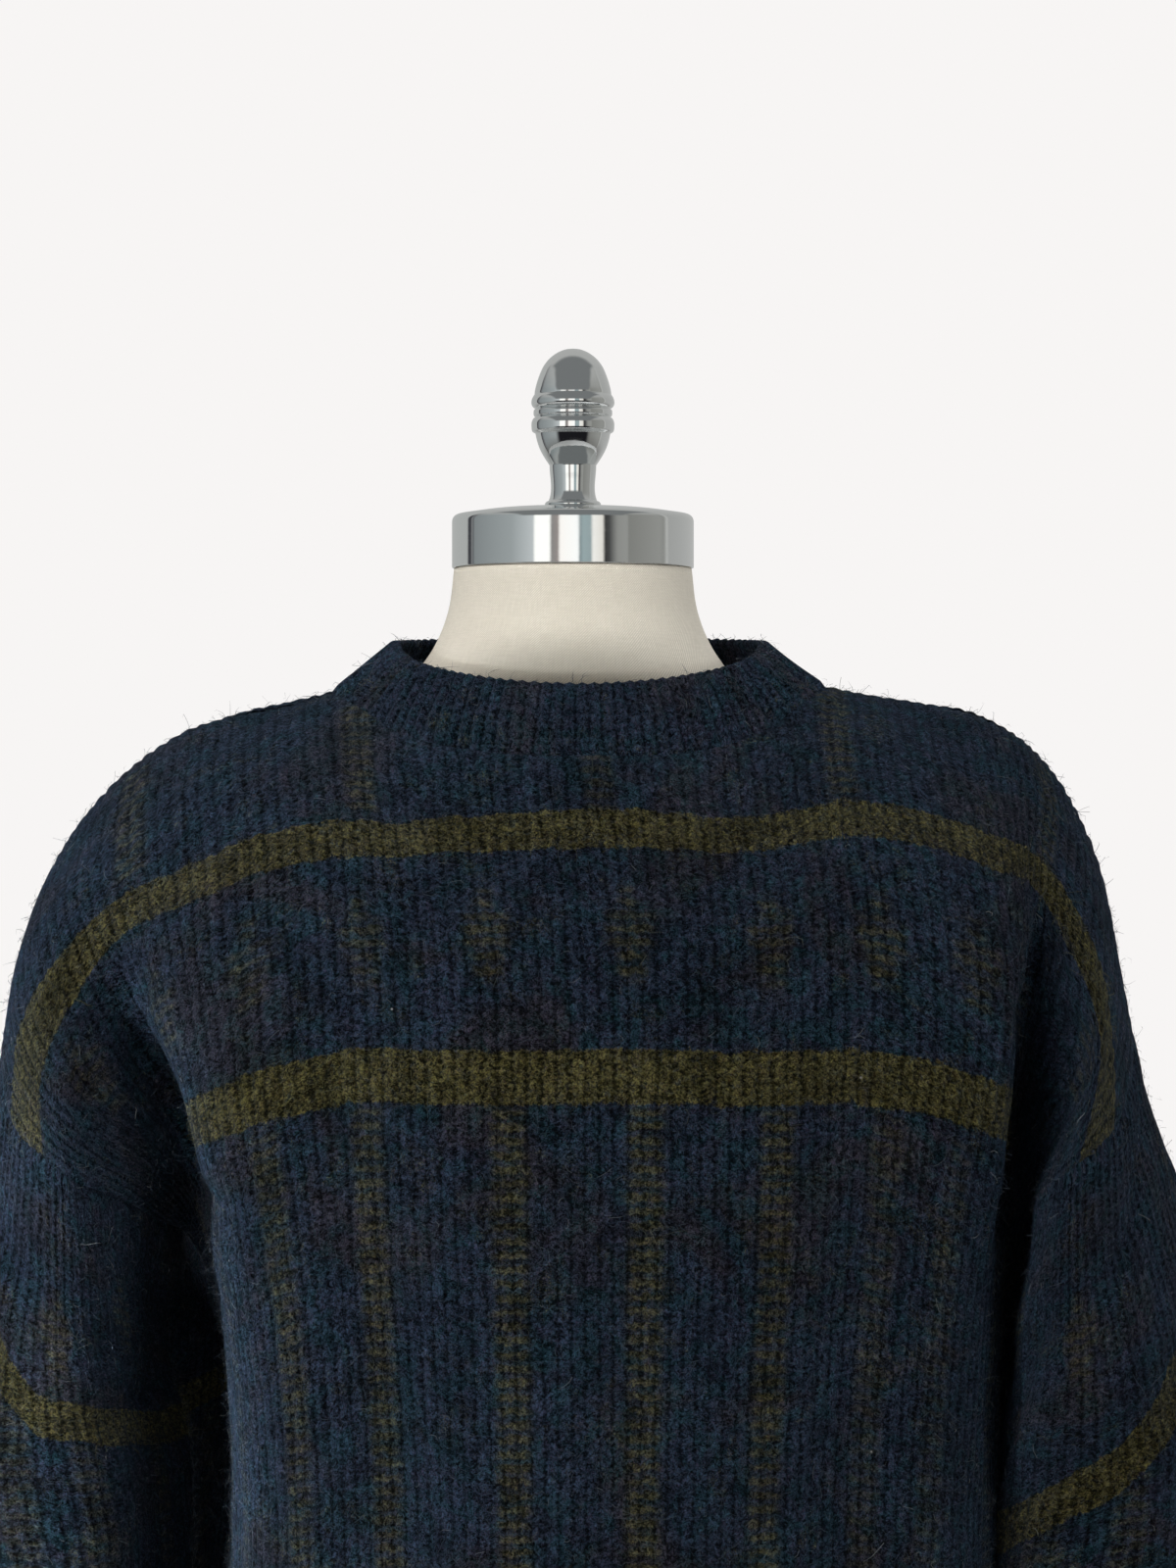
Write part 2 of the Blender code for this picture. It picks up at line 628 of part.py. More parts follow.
def wall_mesh(outer, inner, closed):
    """Points and faces of a wall between two grids, with its edges closed.

    Each quad is split from its first corner. Along an edge that corner is the outer point that lies
    higher, so that two walls that meet at a seam are split alike and stay apart.
    """
    rows, columns = outer.shape[:2]
    count = rows * columns
    number = np.arange(count).reshape(rows, columns)
    outside = grid_faces(rows, columns, closed)
    inside = grid_faces(rows, columns, closed, count)[:, ::-1]
    if closed:
        top, bottom = number[0], number[-1]
        loops = [(top, np.roll(top, -1)), (np.roll(bottom, -1), bottom)]
    else:
        border = np.concatenate([number[0], number[1:, -1], number[-1, -2::-1], number[-2:0:-1, 0]])
        loops = [(border, np.roll(border, -1))]
    points = np.concatenate([outer.reshape(-1, 3), inner.reshape(-1, 3)])
    edges = []
    for a, b in loops:
        from_a = np.stack([a, a + count, b + count, b], axis=1)
        from_b = np.stack([b, a, a + count, b + count], axis=1)
        edges.append(np.where((points[a, 2] > points[b, 2])[:, None], from_a, from_b))
    return points, np.concatenate([outside, inside, *edges])


def flipped_if_inside_out(points, faces):
    """The faces turned round if the closed shape they make would have a negative volume."""
    a, b, c, d = (points[faces[:, i]] for i in range(4))
    volume = np.einsum("ij,ij->", a, np.cross(b, c)) + np.einsum("ij,ij->", a, np.cross(c, d))
    return faces if volume > 0 else faces[:, [0, 3, 2, 1]]


def add_solid(name, points, faces, colour, roughness, metallic=0.0, height=NECK_POINT_HEIGHT):
    """Makes one named object from its points, lifted to its place on the stand, with its own material."""
    faces = flipped_if_inside_out(points, faces)
    mesh = bpy.data.meshes.new(name)
    lifted = points + np.array((0.0, 0.0, height))
    quads = [list(dict.fromkeys(face)) for face in faces.tolist()]
    mesh.from_pydata(lifted.tolist(), [], quads)
    mesh.shade_smooth()
    mesh.set_sharp_from_angle(angle=pi / 5)
    material = bpy.data.materials.new(name)
    material.use_nodes = True
    shader = material.node_tree.nodes["Principled BSDF"]
    shader.inputs["Base Color"].default_value = (*colour, 1.0)
    shader.inputs["Roughness"].default_value = roughness
    shader.inputs["Metallic"].default_value = metallic
    mesh.materials.append(material)
    made = bpy.data.objects.new(name, mesh)
    bpy.context.scene.collection.objects.link(made)
    return made


def ribbed_band(start, start_normal, end, end_normal, bulge, rib_levels):
    """Outer and inner grids of a band between two rings, with every second column raised as a rib.

    rib_levels gives, for each row, its share of the way across the band and its share of the
    rib's height. bulge moves the middle of the band along the normal.
    """
    outer, inner = [], []
    raised = np.where(np.arange(len(start)) % 2 == 0, RIB_HEIGHT, 0.0)[:, None]
    for share, rib in rib_levels:
        normal = unit(start_normal * (1 - share) + end_normal * share)
        line = start * (1 - share) + end * share + normal * bulge * 4 * share * (1 - share)
        outer.append(line + normal * (raised - RIB_HEIGHT / 2) * rib)
        inner.append(line - normal * WALL)
    return np.array(outer), np.array(inner)


def divided(points, normals, count):
    """A closed ring divided evenly along its own straight stretches, so that it never leaves them."""
    ring = np.concatenate([points, points[:1]])
    facing = np.concatenate([normals, normals[:1]])
    length = np.concatenate([[0.0], np.cumsum(np.linalg.norm(np.diff(ring, axis=0), axis=1))])
    where = np.arange(count) * length[-1] / count
    place = np.stack([np.interp(where, length, ring[:, i]) for i in range(3)], axis=1)
    normal = np.stack([np.interp(where, length, facing[:, i]) for i in range(3)], axis=1)
    return place, unit(normal)


def girth_of(points):
    return float(np.linalg.norm(points - np.roll(points, -1, axis=0), axis=1).sum())


def even_count(girth, pitch):
    """The number of columns of a ribbed ring: a ridge and a groove for each rib."""
    return 2 * ceil(girth / pitch - 0.5)


def ring_from_panels(front_row, back_row):
    """One closed ring from a row of the front, left to right, and a row of the back, right to left."""
    return np.concatenate([front_row, back_row[-2:0:-1]])


def add_panels(front_normal, back_normal, colour):
    """The knitted front and back, and the rings of points where the collar and the hem join them."""
    rings = {}
    for name, front, normal in (("front_panel", True, front_normal), ("back_panel", False, back_normal)):
        columns, down = pulled_in(*panel_grid(front))
        outer = panel_surface(columns, down, front)
        points, faces = wall_mesh(outer, outer - normal * WALL, closed=False)
        add_solid(name, points, faces, colour, 0.95)
        rings[name] = (outer, normal)
    return rings


def add_sleeves(sleeve_normal, colour):
    """The two sleeves and their cuffs. A cuff starts on the straight stretches of the sleeve's end."""
    for name, normal in sleeve_normal.items():
        side = SLEEVES[name][0]
        fraction, down = sleeve_grid()
        down = down.copy()
        down[0] += SLEEVE_GAP
        down[-1] -= SEAM_GAP / 2
        outer = sleeve_surface(fraction, down, name)
        points, faces = wall_mesh(outer, outer - normal * WALL, closed=True)
        add_solid(f"{name}_sleeve", points, faces, colour, 0.95)
        end, end_normal = outer[-1], normal[-1]
        start, start_normal = divided(end, end_normal, even_count(girth_of(end), BAND_RIB_PITCH))
        start = start - np.array((0.0, 0.0, SEAM_GAP))
        middle = start.mean(axis=0)
        finish = middle + (start - middle) * CUFF_DRAW_IN - np.array((side * CUFF_LEAN, 0.0, CUFF_DEPTH))
        level = unit(start_normal * np.array((1.0, 1.0, 0.0)))
        outer_band, inner_band = ribbed_band(start, start_normal, finish, level, CUFF_BULGE, BAND_LEVELS)
        points, faces = wall_mesh(outer_band, inner_band, closed=True)
        add_solid(f"{name}_cuff", points, faces, colour, 0.95)


def add_hem(rings, colour):
    """The ribbed hem, hung from the lower edges of the front and back and drawn in below."""
    front, front_normal = rings["front_panel"]
    back, back_normal = rings["back_panel"]
    edge = ring_from_panels(front[-1], back[-1])
    normal = ring_from_panels(front_normal[-1], back_normal[-1])
    start, start_normal = divided(edge, normal, even_count(girth_of(edge), BAND_RIB_PITCH))
    start = start - np.array((0.0, 0.0, SEAM_GAP))
    middle = start.mean(axis=0)
    finish = middle + (start - middle) * HEM_DRAW_IN - np.array((0.0, 0.0, HEM_DEPTH))
    level = unit(start_normal * np.array((1.0, 1.0, 0.0)))
    outer, inner = ribbed_band(start, start_normal, finish, level, HEM_BULGE, BAND_LEVELS)
    points, faces = wall_mesh(outer, inner, closed=True)
    add_solid("hem_rib", points, faces, colour, 0.95)


def collar_top(angle):
    """The collar's upper edge: an oval round the neck that lies in a plane tilted to the front."""
    deep = np.where(np.sin(angle) < 0, COLLAR_TOP_FRONT, COLLAR_TOP_BACK)
    x = NECK_SHIFT + COLLAR_TOP_HALF_WIDTH * np.cos(angle)
    y = deep * np.sin(angle)
    return np.stack([x, y, COLLAR_TOP_HEIGHT + COLLAR_TILT * np.minimum(y, 0.0)], axis=1)


def add_collar(rings, colour):
    """The ribbed crew collar, from the neckline seam up to its edge round the neck."""
    front, front_normal = rings["front_panel"]
    back, back_normal = rings["back_panel"]
    inside = np.abs(panel_columns()) <= NECK_HALF_WIDTH + 1e-9
    seam = ring_from_panels(front[0, inside], back[0, inside])
    normal = ring_from_panels(front_normal[0, inside], back_normal[0, inside])
    start, start_normal = divided(seam, normal, even_count(girth_of(seam), COLLAR_RIB_PITCH))
    angle = np.arctan2(start[:, 1] / COLLAR_TOP_FRONT, (start[:, 0] - NECK_SHIFT) / COLLAR_TOP_HALF_WIDTH)
    finish = collar_top(angle)
    tangent = np.roll(start, -1, axis=0) - np.roll(start, 1, axis=0)
    away = unit(np.cross(start_normal, tangent))
    start = start + away * np.sign(np.sum(away * (finish - start), axis=1))[:, None] * COLLAR_GAP
    rise = np.full(angle.shape, COLLAR_OUTWARDS_RISE)
    outwards = unit(np.stack([np.cos(angle), np.sin(angle), rise], axis=1))
    outer, inner = ribbed_band(start, start_normal, finish, outwards, COLLAR_BULGE, COLLAR_LEVELS)
    points, faces = wall_mesh(outer, inner, closed=True)
    add_solid("collar_rib", points, faces, colour, 0.95)


def oval(half_x, front, back, power, segments):
    """A level outline whose quarters are superellipses, with its own reach to the front and back."""
    angle = np.arange(segments) * 2 * pi / segments
    cosine, sine = np.cos(angle), np.sin(angle)
    x = half_x * np.sign(cosine) * np.abs(cosine) ** (2 / power)
    y = np.where(sine < 0, front, back) * np.sign(sine) * np.abs(sine) ** (2 / power)
    return np.stack([x, y], axis=1)


def capped_stack(rings):
    """Points and faces of a solid through level rings, closed by a fan at each end."""
    rings = np.array(rings)
    rows, columns = rings.shape[:2]
    points = np.concatenate([rings.reshape(-1, 3), [rings[0].mean(axis=0), rings[-1].mean(axis=0)]])
    number = np.arange(rows * columns).reshape(rows, columns)
    ends = []
    for ring, pole, turned in ((number[0], rows * columns, True), (number[-1], rows * columns + 1, False)):
        following = np.roll(ring, -1)
        first, second = (following, ring) if turned else (ring, following)
        ends.append(np.stack([first, second, np.full(columns, pole), np.full(columns, pole)], axis=1))
    return points, np.concatenate([grid_faces(rows, columns, True), *ends])


def add_torso(colour):
    """The linen-covered body of the dress form, one solid from its flat underside to the top of the neck."""
    table = np.array(TORSO_SECTIONS)
    rings = []
    for height in TORSO_HEIGHTS:
        half_x, front, back, power = through(table[:, 0], table[:, 1:], np.array([height]))[0]
        ring = oval(half_x, front, back, power, TORSO_SEGMENTS)
        rings.append(np.column_stack([ring, np.full(len(ring), height)]))
    rounding = []
    for turn in TORSO_ROUNDING:
        shrink = 1.0 - TORSO_SHRINK * (1.0 - np.sin(turn * pi / 2))
        ring = rings[0] * np.array((shrink, shrink, 1.0))
        ring[:, 2] = TORSO_BOTTOM + (TORSO_HEIGHTS[0] - TORSO_BOTTOM) * (1 - np.cos(turn * pi / 2))
        rounding.append(ring)
    points, faces = capped_stack(rounding + rings)
    add_solid("form_torso", points, faces, colour, 0.9)


def add_turned(name, profile, segments, height, colour, roughness):
    """A chromed piece turned round the stand's axis from its radii and heights."""
    angle = np.arange(segments) * 2 * pi / segments
    circle = np.stack([np.cos(angle), np.sin(angle)], axis=1)
    rings = [np.column_stack([circle * radius, np.full(segments, z)]) for radius, z in profile]
    points, faces = capped_stack(rings)
    add_solid(name, points, faces, colour, roughness, metallic=1.0, height=height)


def add_stand(colour):
    """The cap on the neck, the finial on the cap, and the pole and base plate below the torso."""
    edge = 0.0025
    cap = (
        (CAP_RADIUS, CAP_BOTTOM),
        (CAP_RADIUS, CAP_EDGE - edge),
        (CAP_RADIUS - edge * 0.3, CAP_EDGE - edge * 0.3),
        (CAP_RADIUS - edge, CAP_EDGE),
        (CAP_RADIUS * 0.55, CAP_TOP - 0.001),
        (CAP_RADIUS * 0.25, CAP_TOP),
    )
    add_turned("neck_cap", cap, TURNED_SEGMENTS * 2, NECK_POINT_HEIGHT, colour, 0.08)
    finial = (*FINIAL_PROFILE, (0.0020, FINIAL_TOP))
    add_turned("finial", finial, FINIAL_SEGMENTS, NECK_POINT_HEIGHT, colour, 0.08)
    foot = BASE_CROWN + SEAM_GAP
    head = NECK_POINT_HEIGHT + TORSO_BOTTOM - SEAM_GAP
    pole = (
        (POLE_FOOT_RADIUS, foot),
        (POLE_FOOT_RADIUS, foot + POLE_FLANGE * 0.6),
        (POLE_RADIUS + 0.002, foot + POLE_FLANGE),
        (POLE_RADIUS, foot + POLE_FLANGE * 2),
        (POLE_RADIUS, head - POLE_FLANGE * 2),
        (POLE_RADIUS + 0.002, head - POLE_FLANGE),
        (POLE_HEAD_RADIUS, head - POLE_FLANGE * 0.6),
        (POLE_HEAD_RADIUS, head),
    )
    add_turned("stand_pole", pole, TURNED_SEGMENTS, 0.0, colour, 0.12)
    base = (
        (BASE_RADIUS - 0.002, 0.0),
        (BASE_RADIUS, 0.002),
        (BASE_RADIUS, BASE_RIM - 0.002),
        (BASE_RADIUS - 0.003, BASE_RIM),
        (BASE_RADIUS * 0.6, BASE_CROWN - 0.002),
        (POLE_FOOT_RADIUS + 0.008, BASE_CROWN),
    )
    add_turned("base_plate", base, BASE_SEGMENTS, 0.0, colour, 0.12)


def main():
    for existing in list(bpy.data.objects):
        bpy.data.objects.remove(existing)
    wool = (0.018, 0.025, 0.036)
    linen = (0.66, 0.60, 0.50)
    chrome = (0.62, 0.64, 0.64)
    front_normal, back_normal, sleeve_normal = shared_seam_normals()
    rings = add_panels(front_normal, back_normal, wool)
    add_sleeves(sleeve_normal, wool)
    add_collar(rings, wool)
    add_hem(rings, wool)
    add_torso(linen)
    add_stand(chrome)


main()
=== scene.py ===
"""A wide wool sweater with a crew neck and dropped shoulders, on a dress form with a pole stand.

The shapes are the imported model's own: the same guide lines, rings and sections, worked out more
finely. The main departures are the left sleeve's inner side, which lies up to 12 mm off the model's,
and the collar's sides and the cap's edge, which lie 1 to 3 mm off. Each knitted piece is a grid
surface that is a function of the cloth lengths across and down. Its wales are raised in the mesh, and
its stitches and fibres are in the material. Metres, +Z up, the front faces -Y and the sweater's own
right sleeve lies at -X. Heights in the tables are measured from the neck point, where the shoulder
seam meets the collar.
"""

from math import ceil, pi

import bmesh
import bpy
import numpy as np

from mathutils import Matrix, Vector

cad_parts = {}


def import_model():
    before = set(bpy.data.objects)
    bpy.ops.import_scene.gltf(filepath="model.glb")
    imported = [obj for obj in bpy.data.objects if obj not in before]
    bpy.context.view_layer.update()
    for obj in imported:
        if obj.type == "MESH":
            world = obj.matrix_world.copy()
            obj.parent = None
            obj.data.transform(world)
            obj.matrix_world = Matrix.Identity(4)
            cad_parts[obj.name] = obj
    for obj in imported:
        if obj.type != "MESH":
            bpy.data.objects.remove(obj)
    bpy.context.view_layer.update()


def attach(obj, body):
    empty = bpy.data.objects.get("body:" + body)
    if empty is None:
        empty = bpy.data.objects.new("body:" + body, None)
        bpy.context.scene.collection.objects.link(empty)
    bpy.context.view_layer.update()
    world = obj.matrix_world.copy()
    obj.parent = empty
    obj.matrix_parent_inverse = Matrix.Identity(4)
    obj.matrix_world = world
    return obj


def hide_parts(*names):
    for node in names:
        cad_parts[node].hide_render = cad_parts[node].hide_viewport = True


# The stand and the whole figure
NECK_POINT_HEIGHT = 1.360
TORSO_BOTTOM = -0.680
TORSO_TOP = 0.0567

# The cloth
WALL = 0.0036
PANEL_HALF_WIDTH = 0.320
PANEL_LENGTH = 0.600
ARMHOLE_DEPTH = 0.280
NECK_HALF_WIDTH = 0.114
FRONT_NECK_DROP = 0.075
BACK_NECK_DROP = 0.020
NECKLINE_POWER = 1.9
SLEEVE_LENGTH = 0.470
BACK_SHARE = 0.92
NECK_SHIFT = 0.003
BODY_SHIFT = 0.015

# The knit: wales run down the cloth and courses run across it
WALES = 99
WALE = 2 * PANEL_HALF_WIDTH / WALES
COURSE = 0.0031
RIDGE = 0.0009
RIB_PITCH = 0.0063
RIB_HEIGHT = 0.0022
SLEEVE_END_WIDTH = 0.335
FRONT_ROWS = 245
BACK_ROWS = 170
SLEEVE_ROWS = 134
RIB_ROWS = 14
RIB_TURN_ROWS = 6
RIB_RETURN_ROWS = 7
NOISE_ROWS = 64
NOISE_COLUMNS = 512
# How deep a piece's edge turns in at a seam, and how far that reaches
TUCK_DEPTH = 0.0006
TUCK_REACH = 0.0030
# How far the first row of a sleeve or a rib is sunk under the cloth that it is sewn to
SLEEVE_SUNK = 0.0009
RIB_SUNK = 0.0010
# How much length a rib's round edge takes up
EDGE_ROUND = 0.002

# The loose fibres: how many on each side of the sweater, and the share of them on each piece there
FUZZ_COUNT = 28500
FUZZ_SHARE = {"panel": 0.62, "sleeve": 0.165, "collar": 0.05, "hem": 0.02, "cuff": 0.015}
FIBRE_SHORTEST = 0.0020
FIBRE_SPREAD = 0.0013
FIBRE_LIFT = 0.00055
FIBRE_THIN = 0.00005
FIBRE_THICK = 0.00010

# The ribbed bands
HEM_DEPTH = 0.062
HEM_DRAW_IN = 0.94
CUFF_DEPTH = 0.070
CUFF_DRAW_IN = 0.86
CUFF_LEAN = 0.002
COLLAR_TOP_HALF_WIDTH = 0.0865
COLLAR_TOP_FRONT = 0.078
COLLAR_TOP_BACK = 0.068
COLLAR_TOP_HEIGHT = 0.0250
COLLAR_TILT = 0.31
COLLAR_OUTWARDS_RISE = 0.35
COLLAR_BULGE = 0.002
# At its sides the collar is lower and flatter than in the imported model
COLLAR_SIDE_DROP = 0.0026
COLLAR_SIDE_FLATTER = 0.0024
HEM_BULGE = 0.001
CUFF_BULGE = -0.003

# The stand
SEAT_GAP = 0.0003
POLE_RADIUS = 0.0125
POLE_STEM_RADIUS = 0.0145
POLE_FOOT_RADIUS = 0.032
POLE_HEAD_RADIUS = 0.045
BASE_RADIUS = 0.165
BASE_RIM = 0.007
BASE_CROWN = 0.013
CAP_RADIUS = 0.0560
CAP_BOTTOM = 0.0570
CAP_EDGE = 0.0815
CAP_TOP = 0.0855
LINEN_RADIUS = 0.058
TWILL_PITCH = 0.0012
TORSO_SEGMENTS = 192
TORSO_UNDERSIDE_TOP = -0.638
TORSO_UNDERSIDE_SHRINK = 0.16
# The radius that stands for a pole of a turned piece
TINY = 0.0004

# Colours, in linear red, green and blue
NAVY = (0.0022, 0.0048, 0.0088)
SLATE = (0.0055, 0.0115, 0.0220)
VIOLET = (0.0085, 0.0062, 0.0130)
DUSK = (0.0075, 0.0062, 0.0080)
TEAL = (0.0020, 0.0120, 0.0145)
BROWN = (0.0105, 0.0068, 0.0042)
# The near-black of the darkest yarn, and of the painted shade in the knit's grooves and between its stitch
# legs
DARK_YARN_AND_PAINTED_SHADE = (0.0005, 0.0007, 0.0010)
OLIVE = (0.0270, 0.0230, 0.0055)
KHAKI = (0.0440, 0.0380, 0.0100)
UMBER = (0.0180, 0.0120, 0.0045)
RUST = (0.0400, 0.0160, 0.0055)
FIBRE_BLUE = (0.0530, 0.0920, 0.1500)
FIBRE_TEAL = (0.0210, 0.1050, 0.1120)
FIBRE_VIOLET = (0.0930, 0.0620, 0.1180)
FIBRE_DUSK = (0.0920, 0.0800, 0.0860)
FIBRE_OLIVE = (0.2450, 0.2200, 0.0640)
FIBRE_BROWN = (0.0950, 0.0650, 0.0450)
FIBRE_RUST = (0.1450, 0.0900, 0.0350)
PALE_OLIVE = (0.0850, 0.0820, 0.0330)
SHEEN_WEIGHT = 0.06
SPECK = (0.3000, 0.2800, 0.2700)
FUZZ_DARK = (0.0060, 0.0100, 0.0160)
FUZZ_BLUE = (0.0180, 0.0300, 0.0480)
FUZZ_GREY = (0.0420, 0.0560, 0.0720)
FUZZ_PALE = (0.1500, 0.1600, 0.1650)
LINEN_LIGHT = (0.735, 0.675, 0.580)
LINEN_DARK = (0.520, 0.470, 0.390)
LINEN_SHADE = (0.480, 0.420, 0.330)
BACKDROP = (0.930, 0.913, 0.905)
ROOM_CEILING = (0.62, 0.62, 0.61)
ROOM_FRONT = (0.26, 0.27, 0.275)
ROOM_DARK = (0.015, 0.015, 0.018)
ROOM_FLOOR = (0.20, 0.19, 0.18)
ROOM_STRENGTH = 0.75
# Round lamps: name, place, target, size, power, colour and spread
LAMPS = (
    ("window", (-0.55, -0.95, 2.15), (0.0, 0.0, 1.25), 0.9, 16.0, (0.98, 0.985, 0.98), pi),
    ("far_window", (1.8, -1.2, 1.9), (0.0, 0.0, 1.2), 1.6, 24.0, (0.92, 0.96, 1.0), pi),
    ("low_window", (-2.0, -1.7, 0.9), (-0.36, 0.0, 0.98), 0.5, 3.0, (0.90, 0.96, 1.0), 0.30),
    ("back_window", (0.9, 2.6, 2.5), (0.0, 0.0, 1.05), 1.8, 55.0, (0.96, 0.98, 1.0), pi),
)
CAMERA_PLACE = (0.007, -2.2, 1.317)
CAMERA_LENS = 109
FLOOR_RADIUS = 2.6
FLOOR_SEGMENTS = 96
# What stands round the room, by degrees from the camera's side, turning towards the left sleeve
#    degrees  red   green  blue
ROOM_STRIPES = (
    (-180.0, 0.62, 0.63, 0.62),
    (-120.0, 0.62, 0.63, 0.62),
    (-118.0, 0.08, 0.08, 0.09),
    (-113.0, 0.08, 0.08, 0.09),
    (-112.0, 0.50, 0.51, 0.52),
    (-110.0, 0.10, 0.10, 0.11),
    (-108.0, 0.34, 0.37, 0.38),
    (-60.0, 0.50, 0.54, 0.55),
    (-38.0, 0.78, 0.82, 0.84),
    (-36.0, 1.70, 1.68, 1.62),
    (-22.0, 1.70, 1.68, 1.62),
    (-20.0, 0.40, 0.38, 0.37),
    (-14.0, 0.48, 0.42, 0.40),
    (-12.0, 1.60, 1.52, 1.46),
    (5.0, 1.60, 1.60, 1.58),
    (7.0, 0.34, 0.42, 0.44),
    (10.0, 0.50, 0.62, 0.64),
    (17.0, 0.46, 0.56, 0.58),
    (19.0, 1.40, 1.36, 1.30),
    (29.0, 1.20, 1.14, 1.06),
    (30.0, 0.05, 0.05, 0.05),
    (35.0, 0.10, 0.10, 0.10),
    (43.0, 0.42, 0.42, 0.40),
    (53.0, 0.46, 0.46, 0.44),
    (55.0, 0.34, 0.34, 0.32),
    (90.0, 0.44, 0.44, 0.42),
    (97.0, 0.40, 0.40, 0.38),
    (101.0, 0.72, 0.72, 0.70),
    (104.0, 0.55, 0.55, 0.54),
    (160.0, 0.66, 0.66, 0.65),
    (180.0, 0.62, 0.63, 0.62),
)


# Guide lines run down the cloth at a fixed distance across from the centre. Each row gives the
# cloth length down from the shoulder line and the place of the outer surface.
#     down    x      y       z
FRONT_CENTRE = (
    (0.000, 0.000, 0.000, 0.030),
    (0.040, 0.000, -0.052, 0.004),
    (0.075, 0.000, -0.089, -0.030),
    (0.110, 0.000, -0.104, -0.062),
    (0.150, 0.000, -0.115, -0.100),
    (0.200, 0.000, -0.124, -0.149),
    (0.280, 0.000, -0.130, -0.229),
    (0.400, 0.000, -0.131, -0.349),
    (0.600, 0.000, -0.127, -0.549),
)
BACK_CENTRE = (
    (0.000, 0.000, 0.000, 0.030),
    (0.020, 0.000, 0.074, 0.006),
    (0.060, 0.000, 0.097, -0.024),
    (0.100, 0.000, 0.108, -0.062),
    (0.150, 0.000, 0.115, -0.111),
    (0.200, 0.000, 0.118, -0.161),
    (0.280, 0.000, 0.119, -0.241),
    (0.400, 0.000, 0.118, -0.361),
    (0.600, 0.000, 0.115, -0.558),
)
FRONT_NECK_MIDDLE = (
    (0.000, 0.081, 0.000, 0.014),
    (0.052, 0.081, -0.060, -0.020),
    (0.100, 0.080, -0.093, -0.060),
    (0.150, 0.080, -0.109, -0.101),
    (0.200, 0.079, -0.119, -0.150),
    (0.280, 0.077, -0.126, -0.230),
    (0.400, 0.072, -0.128, -0.349),
    (0.600, 0.072, -0.123, -0.549),
)
BACK_NECK_MIDDLE = (
    (0.000, 0.081, 0.000, 0.014),
    (0.014, 0.081, 0.043, 0.005),
    (0.060, 0.080, 0.082, -0.028),
    (0.100, 0.080, 0.099, -0.060),
    (0.150, 0.080, 0.110, -0.108),
    (0.200, 0.079, 0.115, -0.157),
    (0.280, 0.077, 0.117, -0.237),
    (0.400, 0.073, 0.116, -0.357),
    (0.600, 0.073, 0.112, -0.557),
)
FRONT_NECK_SIDE = (
    (0.000, 0.115, 0.000, 0.000),
    (0.050, 0.114, -0.043, -0.021),
    (0.100, 0.113, -0.078, -0.057),
    (0.150, 0.113, -0.100, -0.102),
    (0.200, 0.112, -0.112, -0.150),
    (0.280, 0.108, -0.119, -0.230),
    (0.400, 0.101, -0.121, -0.349),
    (0.600, 0.101, -0.117, -0.549),
)
BACK_NECK_SIDE = (
    (0.000, 0.115, 0.000, 0.000),
    (0.050, 0.114, 0.044, -0.016),
    (0.100, 0.113, 0.081, -0.052),
    (0.150, 0.113, 0.100, -0.098),
    (0.200, 0.112, 0.107, -0.147),
    (0.280, 0.108, 0.110, -0.227),
    (0.400, 0.102, 0.109, -0.348),
    (0.600, 0.102, 0.106, -0.555),
)
CORNER = (
    (0.000, 0.190, 0.000, -0.023),
    (0.050, 0.193, -0.040, -0.050),
    (0.100, 0.191, -0.070, -0.090),
    (0.150, 0.187, -0.089, -0.134),
    (0.200, 0.180, -0.096, -0.180),
    (0.280, 0.168, -0.098, -0.250),
    (0.400, 0.160, -0.098, -0.358),
    (0.600, 0.163, -0.094, -0.552),
)
TUCK = (
    (0.000, 0.221, 0.000, -0.052),
    (0.050, 0.226, -0.038, -0.080),
    (0.100, 0.219, -0.060, -0.114),
    (0.150, 0.204, -0.058, -0.154),
    (0.200, 0.187, -0.034, -0.198),
    (0.240, 0.181, -0.040, -0.228),
    (0.280, 0.178, -0.060, -0.254),
    (0.400, 0.174, -0.067, -0.358),
    (0.600, 0.178, -0.064, -0.552),
)
CROWN = (
    (0.000, 0.243, 0.000, -0.086),
    (0.050, 0.249, -0.040, -0.116),
    (0.100, 0.242, -0.076, -0.150),
    (0.150, 0.226, -0.096, -0.180),
    (0.200, 0.197, -0.058, -0.214),
    (0.240, 0.188, -0.022, -0.236),
    (0.280, 0.184, -0.022, -0.258),
    (0.400, 0.180, -0.033, -0.358),
    (0.600, 0.186, -0.033, -0.552),
)
ARMHOLE_EDGE = (
    (0.000, 0.256, 0.000, -0.143),
    (0.050, 0.259, -0.044, -0.168),
    (0.100, 0.247, -0.086, -0.196),
    (0.150, 0.220, -0.110, -0.215),
    (0.200, 0.201, -0.088, -0.229),
    (0.240, 0.197, -0.044, -0.242),
    (0.280, 0.197, 0.000, -0.250),
)
SIDE_SEAM = (
    (0.280, 0.197, 0.000, -0.250),
    (0.300, 0.189, 0.000, -0.268),
    (0.325, 0.185, 0.000, -0.293),
    (0.360, 0.183, 0.000, -0.328),
    (0.450, 0.184, 0.000, -0.410),
    (0.600, 0.189, 0.000, -0.552),
)
# Places across for the guides: centre, neck middle, neck side, corner, tuck, crown, edge
GUIDE_ACROSS = np.array((0.000, 0.080, NECK_HALF_WIDTH, 0.190, 0.230, 0.270, PANEL_HALF_WIDTH))

# The left shoulder sits squarer on the form than the right. Each row gives the length down on
# the front or back, and how far up and in the cloth is held there, at full strength.
#     down    up     in
SQUARE_SHOULDER = (
    (0.000, 0.017, 0.003),
    (0.050, 0.019, 0.007),
    (0.110, 0.021, 0.006),
    (0.160, 0.012, 0.003),
    (0.210, 0.003, 0.000),
    (0.260, 0.000, 0.000),
    (0.600, 0.000, 0.000),
)
